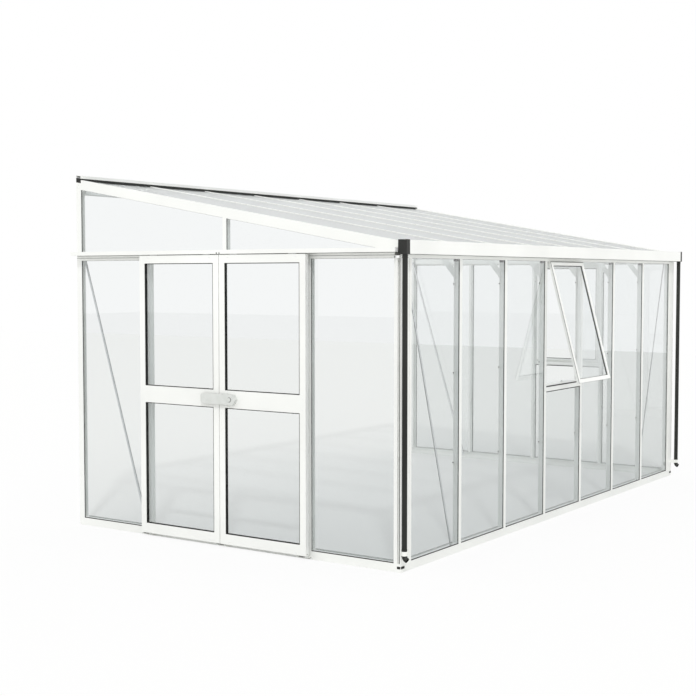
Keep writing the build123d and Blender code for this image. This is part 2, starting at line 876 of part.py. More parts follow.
with BuildPart() as vent_glass:
    add(vent_pane(front_sash_plane, bay_pitch))
    add(vent_pane(far_sash_plane, gable_pitch))

# Stay that holds the front vent open, from the vent frame to the sash's bottom rail
stay_base = vent_sill_height + vent_frame_width + seat_gap
stay_low = front_sash_plane.from_local_coords(Vector(0, -vent_length + sash_rail / 2, -seat_gap))
stay_high = front_sash_plane.from_local_coords(
    Vector(0, -vent_length + sash_rail / 2 + stay_thickness, -seat_gap)
)
with BuildPart() as vent_stay:
    with BuildSketch(across(front_vent_x - stay_width / 2)):
        add(filled(
            (front_y + vent_rebate_depth, stay_base),
            (stay_low.Y, stay_low.Z),
            (stay_high.Y, stay_high.Z),
            (front_y + vent_rebate_depth, stay_base + stay_thickness),
        ))
    extrude(amount=stay_width)

# Knee braces: flat plates beside the feet of the mullions and roof bars
knee_foot_height = head_height - knee_foot_drop
knee_slope = tan(radians(knee_angle))
knee_rise = knee_width / cos(radians(knee_angle))
knee_top_drop = roof_drop + bar_depth - knee_lap


def knee_end(foot_height):
    """Distance from the front where a knee edge that starts at this height ends under the roof."""
    level = roof_line(front_y, knee_top_drop)
    return (level - foot_height + knee_start * knee_slope) / (knee_slope - slope)


knee_low_end = knee_end(knee_foot_height)
knee_high_end = knee_end(knee_foot_height + knee_rise)
with BuildPart() as knee_braces:
    for bar_x in mullion_x:
        side_x = bar_x + bar_foot_width / 2
        with BuildSketch(across(side_x, front_y)):
            add(filled(
                (knee_start, knee_foot_height),
                (knee_low_end, roof_line(front_y + knee_low_end, knee_top_drop)),
                (knee_high_end, roof_line(front_y + knee_high_end, knee_top_drop)),
                (knee_start, knee_foot_height + knee_rise),
            ))
        extrude(amount=knee_thickness)


def flat_brace(plane, top, foot):
    """Flat bar with rounded ends, from top to foot on the plane."""
    top, foot = Vector(*top), Vector(*foot)
    middle = (top + foot) / 2
    along = top - foot
    with BuildPart() as brace:
        with BuildSketch(plane):
            tilt = degrees(atan2(along.Y, along.X))
            with Locations((middle.X, middle.Y)):
                SlotCenterToCenter(along.length, brace_width, rotation=tilt)
        extrude(amount=brace_thickness)
    return brace.part


# Wind braces on the inner faces of the end bays: x along the wall and y up
brace_top_height = head_height + brace_top_rise
brace_foot_height = sill_base_height + brace_foot_rise
front_brace = flat_brace(
    Plane(origin=(0, front_y + bar_depth + brace_thickness, 0), x_dir=(1, 0, 0), z_dir=(0, -1, 0)),
    (near_x + front_brace_top_inset, brace_top_height),
    (mullion_x[0] - front_brace_foot_inset, brace_foot_height),
)
gable_brace = flat_brace(
    across(near_x + bar_depth),
    (wall_y - gable_brace_top_inset, brace_top_height),
    (gable_post_y[-1] + gable_brace_foot_inset, brace_foot_height),
)
with BuildPart() as wind_braces:
    add(front_brace)
    add(gable_brace)
    mirror(front_brace, about=mid_plane)
    mirror(gable_brace, about=mid_plane)

# Outlet boxes: open towards the gutter and at the top, with a hole for the pipe in the floor
pipe_x = near_x - pipe_inset_x
pipe_y = front_y - pipe_inset_y
outlet_bottom = gutter_bottom - outlet_wall
outlet_top = eave_height - outlet_top_drop
with BuildPart() as near_outlet:
    with BuildSketch(Plane.XY.offset(outlet_bottom)):
        with Locations((near_x - outlet_depth / 2, front_y - gutter_reach / 2)):
            Rectangle(outlet_depth, gutter_reach)
    extrude(amount=outlet_top - outlet_bottom)
    with BuildSketch(Plane.XY.offset(gutter_bottom + gutter_wall)):
        with Locations((near_x - (outlet_depth - outlet_wall) / 2, front_y - gutter_reach / 2)):
            Rectangle(outlet_depth - outlet_wall, gutter_reach - 2 * outlet_wall)
    extrude(amount=outlet_top - outlet_bottom, mode=Mode.SUBTRACT)
    with BuildSketch(Plane.XY.offset(outlet_bottom)):
        with Locations((pipe_x, pipe_y)):
            Circle(pipe_radius + seat_gap)
    extrude(amount=gutter_wall + outlet_wall, mode=Mode.SUBTRACT)

with BuildPart() as gutter_outlets:
    add(near_outlet.part)
    mirror(near_outlet.part, about=mid_plane)

# Downpipes with a turned shoe
with BuildPart() as near_downpipe:
    with BuildSketch(Plane.XY.offset(shoe_top)):
        with Locations((pipe_x, pipe_y)):
            Circle(pipe_radius)
    extrude(amount=gutter_bottom + gutter_wall - shoe_top)
    with BuildSketch(Plane.XY.offset(shoe_top)):
        with Locations((pipe_x, pipe_y)):
            Circle(pipe_radius)
    revolve(axis=Axis((pipe_x, pipe_y - shoe_radius, shoe_top), (-1, 0, 0)), revolution_arc=shoe_turn)
    extrude(near_downpipe.faces().filter_by(GeomType.PLANE).sort_by(Axis.Z)[0], amount=shoe_spout)
    with BuildSketch(Plane(near_downpipe.faces().filter_by(GeomType.PLANE).sort_by(Axis.Z)[0])):
        Circle(pipe_radius - pipe_wall)
    extrude(amount=-shoe_spout, mode=Mode.SUBTRACT)

with BuildPart() as downpipes:
    add(near_downpipe.part)
    mirror(near_downpipe.part, about=mid_plane)

# Clip that ties the pipe's foot to the corner post
with BuildPart() as near_pipe_clip:
    with BuildSketch(Plane.XY.offset(clip_bottom)):
        with Locations((pipe_x, pipe_y)):
            Circle(pipe_radius + seat_gap + clip_wall)
        with Locations((near_x, front_y)):
            add(filled(
                (clip_post_start - pipe_inset_x, -pipe_inset_y),
                (clip_post_start + clip_arm_width - pipe_inset_x, -pipe_inset_y),
                (clip_post_start + clip_arm_width, 0),
                (clip_post_start, 0),
            ))
        with Locations((pipe_x, pipe_y)):
            Circle(pipe_radius + seat_gap, mode=Mode.SUBTRACT)
    extrude(amount=clip_height)

with BuildPart() as pipe_clips:
    add(near_pipe_clip.part)
    mirror(near_pipe_clip.part, about=mid_plane)

# Door leaves, hung in front of the near gable; x along the gable and y up
door_top = track_bottom - running_gap
door_width = gable_pitch + door_overlap - running_gap / 2
door_face = across(near_x - door_standoff - door_depth)
left_door_y = gable_middle_y + running_gap / 2
right_door_y = gable_middle_y - running_gap / 2 - door_width
light_width = door_width - 2 * door_stile
lower_light = (door_bottom + door_bottom_rail, door_mid_height - door_mid_rail / 2)
upper_light = (door_mid_height + door_mid_rail / 2, door_top - door_top_rail)


def light(y_start, span, grow):
    """Opening of a leaf, grown on all sides."""
    with BuildSketch() as opening:
        with Locations((y_start + door_width / 2, sum(span) / 2)):
            Rectangle(light_width + 2 * grow, span[1] - span[0] + 2 * grow)
    return opening.sketch


def door_frame(y_start):
    """Leaf frame: stiles and three rails, a groove for the panes and one for the guides."""
    pane_plane = door_face.offset(door_glass_inset)
    guide_plane = door_face.offset((door_depth - door_groove_width) / 2)
    with BuildPart() as leaf:
        with BuildSketch(door_face):
            with Locations((y_start + door_width / 2, (door_bottom + door_top) / 2)):
                Rectangle(door_width, door_top - door_bottom)
            add(light(y_start, lower_light, 0), mode=Mode.SUBTRACT)
            add(light(y_start, upper_light, 0), mode=Mode.SUBTRACT)
        extrude(amount=door_depth)
        with BuildSketch(pane_plane):
            add(light(y_start, lower_light, door_bite))
            add(light(y_start, upper_light, door_bite))
        extrude(amount=glass_thickness + gasket_gap, mode=Mode.SUBTRACT)
        with BuildSketch(guide_plane):
            with Locations((y_start + door_width / 2, door_bottom + door_groove_depth / 2)):
                Rectangle(door_width, door_groove_depth)
        extrude(amount=door_groove_width, mode=Mode.SUBTRACT)
    return leaf.part


def door_panes(y_start):
    """Lower and upper pane of a leaf, against the outer side of the groove."""
    with BuildPart() as panes:
        with BuildSketch(door_face.offset(door_glass_inset)):
            add(light(y_start, lower_light, door_bite - glass_edge_gap))
            add(light(y_start, upper_light, door_bite - glass_edge_gap))
        extrude(amount=glass_thickness)
    return panes.part


def door_hangers(y_start):
    """Two blades with rollers that run on the lips of the track."""
    roller_z = track_bottom + track_wall + seat_gap + roller_radius
    hanger_y = (y_start + hanger_inset, y_start + door_width - hanger_inset)
    with BuildPart() as hangers:
        with BuildSketch(door_face.offset((door_depth - hanger_blade) / 2)):
            with Locations(*[(y, (door_top + roller_z) / 2) for y in hanger_y]):
                Rectangle(hanger_length, roller_z - door_top)
        extrude(amount=hanger_blade)
        with BuildSketch(door_face.offset((door_depth - roller_width) / 2)):
            for y in hanger_y:
                for side in (-1, 1):
                    with Locations((y + side * (hanger_length / 2 - roller_radius), roller_z)):
                        Circle(roller_radius)
        extrude(amount=roller_width)
    return hangers.part


with BuildPart() as left_door_frame:
    add(door_frame(left_door_y))
with BuildPart() as right_door_frame:
    add(door_frame(right_door_y))
with BuildPart() as left_door_glass:
    add(door_panes(left_door_y))
with BuildPart() as right_door_glass:
    add(door_panes(right_door_y))
with BuildPart() as left_door_hangers:
    add(door_hangers(left_door_y))
with BuildPart() as right_door_hangers:
    add(door_hangers(right_door_y))

# Bottom guides on the sill: a plate under the leaves with a fin in their groove
guide_top = door_bottom - guide_gap
fin_top = door_bottom + door_groove_depth - running_gap
guide_middle = (gable_post_y[0] + guide_shift, gable_middle_y, gable_post_y[-1] - guide_shift)
with BuildPart() as door_guides:
    guide_reach = slot_middle + guide_fin / 2
    for y in guide_middle:
        guide_plane = Plane(origin=(near_x, y - guide_length / 2, 0), x_dir=(-1, 0, 0), z_dir=(0, 1, 0))
        with BuildSketch(guide_plane):
            add(filled(
                (0, guide_top - guide_plate),
                (guide_reach, guide_top - guide_plate),
                (guide_reach, fin_top),
                (guide_reach - guide_fin, fin_top),
                (guide_reach - guide_fin, guide_top),
                (0, guide_top),
            ))
        extrude(amount=guide_length)

# Latch on the right leaf: the plate that laps over the left leaf, the lock body and its barrel
latch_right = gable_middle_y - latch_reach_right
lock_y = latch_right + lock_body_width / 2
leaf_face_x = near_x - door_standoff - door_depth
latch_side = Plane(origin=(leaf_face_x, 0, 0), x_dir=(0, -1, 0), z_dir=(-1, 0, 0))
with BuildPart() as door_latch:
    with BuildSketch(latch_side):
        with Locations((-lock_y, door_mid_height)):
            RegularPolygon(radius=lock_body_width / 2, side_count=6)
    extrude(amount=latch_standoff + latch_thickness + lock_body_proud)
    with BuildSketch(latch_side.offset(latch_standoff)):
        plate_length = latch_length - lock_body_width / 2
        with Locations((-lock_y - plate_length / 2, door_mid_height)):
            RectangleRounded(plate_length, latch_height, latch_corner)
    extrude(amount=latch_thickness)
    with BuildSketch(latch_side.offset(latch_standoff + latch_thickness + lock_body_proud)):
        with Locations((-lock_y - lock_barrel_shift, door_mid_height)):
            Circle(lock_barrel_radius)
    extrude(amount=lock_barrel_length)

pieces = {
    "front_sill": front_sill,
    "near_gable_sill": near_gable_sill,
    "far_gable_sill": far_gable_sill,
    "near_corner_post": near_corner_post,
    "far_corner_post": far_corner_post,
    "wall_posts": wall_posts,
    "front_mullions": front_mullions,
    "gutter_beam": gutter_beam,
    "near_gable_rafter": near_gable_rafter,
    "far_gable_rafter": far_gable_rafter,
    "roof_bars": roof_bars,
    "roof_panels": roof_panels,
    "wall_plate": wall_plate,
    "wall_seal": wall_seal,
    "wall_flashing": wall_flashing,
    "near_transom": near_transom,
    "far_transom": far_transom,
    "door_jambs": door_jambs,
    "far_gable_posts": far_gable_posts,
    "gable_upper_bars": gable_upper_bars,
    "door_track": door_track,
    "front_glass": front_glass,
    "gable_side_glass": gable_side_glass,
    "gable_top_glass": gable_top_glass,
    "vent_cross_bars": vent_cross_bars,
    "vent_frames": vent_frames,
    "front_vent_sash": front_vent_sash,
    "far_vent_sash": far_vent_sash,
    "vent_glass": vent_glass,
    "vent_stay": vent_stay,
    "knee_braces": knee_braces,
    "wind_braces": wind_braces,
    "gutter_outlets": gutter_outlets,
    "downpipes": downpipes,
    "pipe_clips": pipe_clips,
    "door_guides": door_guides,
    "left_door_frame": left_door_frame,
    "left_door_glass": left_door_glass,
    "left_door_hangers": left_door_hangers,
    "right_door_frame": right_door_frame,
    "right_door_glass": right_door_glass,
    "right_door_hangers": right_door_hangers,
    "door_latch": door_latch,
}
os.makedirs("parts", exist_ok=True)
for name, piece in pieces.items():
    piece.part.label = name
    export_step(piece.part, f"parts/{name}.step")
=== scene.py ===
"""Looks of the lean-to greenhouse.

The frame holds every profile, pane and fitting at its real size. This script gives them their
finishes and adds what is too fine for the frame: glazing rubber, cords and seals, pile strips,
screws, spring clips, tapes and plugs. It ends with a plain pale studio seen from the
photograph's angle.

Metres throughout. X runs along the low front, Y towards the house wall and Z up.
"""

import json
import logging
import math
from collections.abc import Iterable
from dataclasses import dataclass
from enum import Enum
from typing import Any

import bmesh
import bpy
from mathutils import Euler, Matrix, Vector


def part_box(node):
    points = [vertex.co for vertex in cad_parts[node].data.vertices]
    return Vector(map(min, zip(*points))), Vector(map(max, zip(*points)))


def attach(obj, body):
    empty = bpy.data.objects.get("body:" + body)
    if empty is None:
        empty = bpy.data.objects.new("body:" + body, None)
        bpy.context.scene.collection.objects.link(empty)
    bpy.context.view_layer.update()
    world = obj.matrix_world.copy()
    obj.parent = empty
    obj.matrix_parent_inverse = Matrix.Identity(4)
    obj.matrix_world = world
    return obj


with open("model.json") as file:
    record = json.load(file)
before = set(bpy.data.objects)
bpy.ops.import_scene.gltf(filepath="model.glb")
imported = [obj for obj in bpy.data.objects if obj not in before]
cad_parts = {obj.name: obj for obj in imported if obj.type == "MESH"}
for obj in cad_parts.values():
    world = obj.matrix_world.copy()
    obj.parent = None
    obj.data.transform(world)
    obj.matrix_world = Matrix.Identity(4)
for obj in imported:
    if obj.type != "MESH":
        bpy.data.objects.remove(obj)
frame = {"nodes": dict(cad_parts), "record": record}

LOG = logging.getLogger("greenhouse")
MM = 0.001
X_AXIS = Vector((1, 0, 0)).freeze()
Y_AXIS = Vector((0, 1, 0)).freeze()
Z_AXIS = Vector((0, 0, 1)).freeze()

Pair = tuple[float, float]
Triple = tuple[float, float, float]
Profile = tuple[Pair, ...]
Node = bpy.types.Node
Socket = bpy.types.NodeSocket
Tree = bpy.types.NodeTree
Shape = bpy.types.Object


class Slot(Enum):
    """Material slots of the record."""

    FRAME = "frame_white"
    GLASS = "glass"
    SHEET = "roof_sheet"
    RUBBER = "seal_rubber"
    PIPE = "downpipe_black"
    CLIP = "clip_white"
    LATCH = "latch_grey"
    BARE = "bare_aluminium"


class Body(Enum):
    """Bodies of the frame that pieces ride on."""

    FRAME = "frame"
    LEFT_DOOR = "left_door"
    RIGHT_DOOR = "right_door"


def around(middle: float, half: float) -> Pair:
    """Span of a half width on both sides of a middle."""
    return middle - half, middle + half


def free_spans(ends: Pair, bars: tuple[float, ...], half: float) -> list[Pair]:
    """Find the spans that a row of bars leaves free.

    Args:
        ends: Start and end of the row.
        bars: Middles of the bars.
        half: Half the width that each bar takes.

    Returns:
        Start and end of each free span.
    """
    edges = [ends[0], *[edge for bar in bars for edge in around(bar, half)], ends[1]]
    return list(zip(edges[::2], edges[1::2]))


def circle(middle: Triple, radius: float, sides: int) -> list[Vector]:
    """Lay points on a level circle.

    Args:
        middle: Its middle.
        radius: Its radius.
        sides: How many points it has.

    Returns:
        The points in order.
    """
    x, y, z = middle
    turns = [math.tau * k / sides for k in range(sides)]
    return [Vector((x + radius * math.cos(t), y + radius * math.sin(t), z)) for t in turns]


def linear(hex_colour: str) -> tuple[float, float, float, float]:
    """Turn an sRGB hex colour into the linear values that shaders use, by the standard's curve.

    Args:
        hex_colour: Six hex digits, such as "F4F5F0".

    Returns:
        Linear red, green and blue, and an alpha of 1.
    """
    shares = [int(hex_colour[i : i + 2], 16) / 255 for i in (0, 2, 4)]
    values = [c / 12.92 if c <= 0.04045 else ((c + 0.055) / 1.055) ** 2.4 for c in shares]
    return (*values, 1.0)


def add_node(tree: Tree, kind: str, values: dict[str | int, Any] | None = None) -> Node:
    """Add one node, set its values and link its inputs.

    Args:
        tree: The node tree that gets the node.
        kind: The node's type name.
        values: By name or number, the value of a property or else of an input, or the socket that
            feeds an input. A node given there stands for its first output.

    Returns:
        The new node.
    """
    node = tree.nodes.new(kind)
    for name, value in (values or {}).items():
        if isinstance(value, Node):
            tree.links.new(value.outputs[0], node.inputs[name])
        elif isinstance(value, Socket):
            tree.links.new(value, node.inputs[name])
        elif hasattr(node, str(name)):
            setattr(node, name, value)
        else:
            node.inputs[name].default_value = value
    return node


def ray_kinds(tree: Tree, *kinds: str) -> list[Socket]:
    """Find the switches for kinds of ray.

    Args:
        tree: The tree of a material or world.
        kinds: Kinds of ray, such as "Camera" or "Shadow".

    Returns:
        An output for each kind, which is 1 for such a ray.
    """
    rays = add_node(tree, "ShaderNodeLightPath")
    return [rays.outputs[f"Is {kind} Ray"] for kind in kinds]


def strongest(tree: Tree, values: list[Node | Socket]) -> Node | Socket:
    """Take the largest of several values.

    Args:
        tree: The tree of a material or world.
        values: What is compared.

    Returns:
        The largest of them.
    """
    best = values[0]
    for value in values[1:]:
        best = add_node(tree, "ShaderNodeMath", {"operation": "MAXIMUM", 0: best, 1: value})
    return best


@dataclass(frozen=True)
class Finish:
    """A finish by its real name. Subclasses build its shader."""

    name: str

    def build(self) -> bpy.types.Material:
        """Make the material and let the subclass fill its node tree.

        Returns:
            The new material.
        """
        material = bpy.data.materials.new(self.name)
        material.use_nodes = True
        tree = material.node_tree
        tree.nodes.clear()
        add_node(tree, "ShaderNodeOutputMaterial", {"Surface": self.shade(tree)})
        return material

    def shade(self, tree: Tree) -> Node:
        """Build the shader in a tree and return its last node."""
        raise NotImplementedError

    def noise(self, tree: Tree, size: float, detail: float, stretch: Triple) -> Node:
        """Make noise of a real size on the piece's own coordinates.

        Args:
            tree: The material's tree.
            size: Size of the patches in metres.
            detail: Octaves of finer noise.
            stretch: How much longer the patches are along each axis.

        Returns:
            The noise.
        """
        place = add_node(tree, "ShaderNodeTexCoord").outputs["Object"]
        spread = add_node(tree, "ShaderNodeMapping", {
            "Scale": [1 / (size * s) for s in stretch], "Vector": place})
        return add_node(tree, "ShaderNodeTexNoise", {"Scale": 1.0, "Detail": detail, "Vector": spread})

    def ramp(self, tree: Tree, value: Node | Socket, stops: Pair, colours: tuple[str, str]) -> Node:
        """Blend between two colours.

        Args:
            tree: The material's tree.
            value: What the blend follows.
            stops: Values at which the blend starts and ends.
            colours: Hex colours at the two stops.

        Returns:
            The blend.
        """
        ramp = add_node(tree, "ShaderNodeValToRGB", {"Fac": value})
        for stop, place, colour in zip(ramp.color_ramp.elements, stops, colours):
            stop.position = place
            stop.color = linear(colour)
        return ramp

    def relief(self, tree: Tree, size: float, depth: float, stretch: Triple) -> Node:
        """Raise a fine bump.

        Args:
            tree: The material's tree.
            size: Size of the bumps in metres.
            depth: Their depth in metres.
            stretch: How much longer they are along each axis.

        Returns:
            The bump, as a normal.
        """
        height = self.noise(tree, size, detail=2.0, stretch=stretch)
        return add_node(tree, "ShaderNodeBump", {
            "Strength": 1.0, "Distance": depth, "Height": height})


@dataclass(frozen=True)
class OpaqueFinish(Finish):
    """Base for solid surfaces: two close colours that drift over patches, and a fine relief."""

    low: str
    high: str
    roughness: float
    patch: float
    bump: float
    bump_depth: float
    metallic: float = 0.0
    patch_stretch: Triple = (1, 1, 1)
    bump_stretch: Triple = (1, 1, 1)
    blend: Pair = (0.35, 0.65)  # values of the drift between which the colours blend

    def shade(self, tree: Tree) -> Node:
        """Drift the colour, raise the relief and build the shader.

        Args:
            tree: The material's tree.

        Returns:
            The shader.
        """
        drift = self.noise(tree, self.patch, detail=3.0, stretch=self.patch_stretch)
        return add_node(tree, "ShaderNodeBsdfPrincipled", {
            "Metallic": self.metallic, "Roughness": self.roughness,
            "Base Color": self.ramp(tree, drift, self.blend, (self.low, self.high)),
            "Normal": self.relief(tree, self.bump, self.bump_depth, self.bump_stretch)})


@dataclass(frozen=True)
class PowderCoat(OpaqueFinish):
    """Satin powder coat, sprayed and baked on extruded aluminium."""

    # To the eye: an even white with soft highlights, broken a little by orange peel
    low: str = "F1F2EF"
    high: str = "F8F9F6"
    roughness: float = 0.34
    patch: float = 0.6
    bump: float = 4 * MM  # drawn coarser than the real 1 mm, so that it shows
    bump_depth: float = 0.05 * MM


@dataclass(frozen=True)
class EpdmRubber(OpaqueFinish):
    """Extruded EPDM rubber."""

    # To the eye: near black and dull, with a dusty bloom
    low: str = "141513"
    high: str = "21221F"
    roughness: float = 0.62
    patch: float = 0.08
    bump: float = 2 * MM
    bump_depth: float = 0.05 * MM


@dataclass(frozen=True)
class PipePlastic(OpaqueFinish):
    """Extruded uPVC in anthracite."""

    # To the eye: a semi-matt dark grey with faint draw lines along the pipe
    low: str = "1B1C19"
    high: str = "242521"
    roughness: float = 0.42
    patch: float = 0.05
    bump: float = 1.5 * MM
    bump_depth: float = 0.04 * MM
    patch_stretch: Triple = (1, 1, 12)
    bump_stretch: Triple = (1, 1, 80)


@dataclass(frozen=True)
class MouldedPlastic(OpaqueFinish):
    """Injection-moulded ABS with a fine spark texture."""

    # To the eye: an even colour, with highlights that the texture softens
    low: str = "D3D6D2"
    high: str = "DADCD9"
    roughness: float = 0.45
    patch: float = 0.03
    bump: float = 1.2 * MM
    bump_depth: float = 0.03 * MM


@dataclass(frozen=True)
class MillAluminium(OpaqueFinish):
    """Mill-finish aluminium, as it leaves the die."""

    # To the eye: a pale grey metal with draw lines and blurred reflections
    low: str = "ECEDEE"
    high: str = "F6F7F7"
    roughness: float = 0.38
    patch: float = 0.02
    bump: float = 1 * MM
    bump_depth: float = 0.02 * MM
    metallic: float = 0.2  # the oxide skin scatters most of the light
    patch_stretch: Triple = (1, 1, 8)
    bump_stretch: Triple = (1, 1, 60)


@dataclass(frozen=True)
class ClearPane(Finish):
    """Base for what is seen through: lamp light and bounced light pass it dimmed and straight."""

    veil: str = "E5E7E8"

    def see_through(self, tree: Tree, pane: Node) -> Node:
        """Let shadow and diffuse rays straight through, tinted by the veil.

        Args:
            tree: The material's tree.
            pane: The shader that all other rays meet.

        Returns:
            The mixed shader.
        """
        clear = add_node(tree, "ShaderNodeBsdfTransparent", {"Color": linear(self.veil)})
        light = strongest(tree, ray_kinds(tree, "Shadow", "Diffuse"))
        return add_node(tree, "ShaderNodeMixShader", {"Fac": light, 1: pane, 2: clear})


@dataclass(frozen=True)
class FloatGlass(ClearPane):
    """Toughened float glass, flat and polished by its making."""

    # To the eye: nearly nothing head on, and a clear mirror at a low angle
    tint: str = "F4F6F6"
    ior: float = 1.75  # above glass's 1.5, to match the strength of the reflections

    def shade(self, tree: Tree) -> Node:
        """Build the glass in a tree and return its last node."""
        return self.see_through(tree, add_node(tree, "ShaderNodeBsdfPrincipled", {
            "Base Color": linear(self.tint), "Roughness": 0.0, "IOR": self.ior,
            "Transmission Weight": 1.0}))


@dataclass(frozen=True)
class TwinWallSheet(ClearPane):
    """Clear twin-wall polycarbonate, extruded with ribs between its two skins."""

    # To the eye: pale glossy skins over fine stripes that run down the slope
    veil: str = "ECEEEF"
    low: str = "CACFCF"
    high: str = "E2E5E4"
    roughness: float = 0.28
    ior: float = 1.58
    clearness: float = 0.85
    rib_pitch: float = 21 * MM  # drawn coarser than the real 10.5 mm, so that it shows
    rib_share: Pair = (0.1, 0.3)
    wave: float = 40 * MM
    wave_depth: float = 0.1 * MM

    def shade(self, tree: Tree) -> Node:
        """Build a ribbed, clear sheet.

        Args:
            tree: The material's tree.

        Returns:
            The shader.
        """
        place = add_node(tree, "ShaderNodeTexCoord").outputs["Object"]
        # The wave node repeats every tau / 20 units at a scale of 1
        ribs = add_node(tree, "ShaderNodeTexWave", {
            "wave_type": "BANDS", "bands_direction": "X", "wave_profile": "SAW",
            "Scale": math.tau / 20 / self.rib_pitch, "Distortion": 0.0, "Vector": place}).outputs["Fac"]
        return self.see_through(tree, add_node(tree, "ShaderNodeBsdfPrincipled", {
            "Roughness": self.roughness, "IOR": self.ior, "Transmission Weight": self.clearness,
            "Base Color": self.ramp(tree, ribs, self.rib_share, (self.low, self.high)),
            "Normal": self.relief(tree, self.wave, self.wave_depth, (1, 6, 1))}))


@dataclass(frozen=True)
class StudioPaper(Finish):
    """Matt paper of the studio's floor, which isn't part of the object."""

    # To the eye: nearly white where it is seen, with the object's shadow, and one grey in mirrors
    colour: str = "EFEFED"
    mirrored: str = "A9ACAC"
    glow: float = 0.9
    glow_through_glass: float = 0.17

    def shade(self, tree: Tree) -> Node:
        """Mix the paper with the glow of what is seen of it.

        Args:
            tree: The material's tree.

        Returns:
            The shader.
        """
        camera, through, glossy, bounced = ray_kinds(
            tree, "Camera", "Transmission", "Glossy", "Reflection")
        paper = add_node(tree, "ShaderNodeBsdfDiffuse", {"Color": linear(self.colour)})
        white = add_node(tree, "ShaderNodeEmission", {"Color": (1, 1, 1, 1), "Strength": 1.0})
        shares = [add_node(tree, "ShaderNodeMath", {"operation": "MULTIPLY", 1: share, 0: rays})
                  for rays, share in ((camera, self.glow), (through, self.glow_through_glass))]
        lit = add_node(tree, "ShaderNodeMixShader", {
            "Fac": strongest(tree, shares), 1: paper, 2: white})
        grey = add_node(tree, "ShaderNodeEmission", {"Color": linear(self.mirrored), "Strength": 1.0})
        both = add_node(tree, "ShaderNodeMath", {"operation": "MULTIPLY", 0: glossy, 1: bounced})
        return add_node(tree, "ShaderNodeMixShader", {"Fac": both, 1: lit, 2: grey})


class FinishShelf:
    """Every finish of the greenhouse, built once."""

    def __init__(self) -> None:
        """Build the materials."""
        finishes: dict[Slot, Finish] = {
            Slot.FRAME: PowderCoat("white_powder_coat"),
            Slot.GLASS: FloatGlass("toughened_float_glass"),
            Slot.SHEET: TwinWallSheet("twin_wall_polycarbonate"),
            Slot.RUBBER: EpdmRubber("black_epdm_rubber"),
            Slot.PIPE: PipePlastic("anthracite_upvc"),
            Slot.CLIP: MouldedPlastic("white_moulded_abs", "EDEEEA", "F4F5F1"),
            Slot.LATCH: MouldedPlastic("pale_grey_moulded_abs"),
            Slot.BARE: MillAluminium("mill_finish_aluminium"),
        }
        self.materials = {slot: finish.build() for slot, finish in finishes.items()}

    def dress(self, piece: Shape, slot: Slot) -> None:
        """Give a whole piece the material of a slot."""
        piece.data.materials.clear()
        piece.data.materials.append(self.materials[slot])
        piece.data.polygons.foreach_set("material_index", [0] * len(piece.data.polygons))


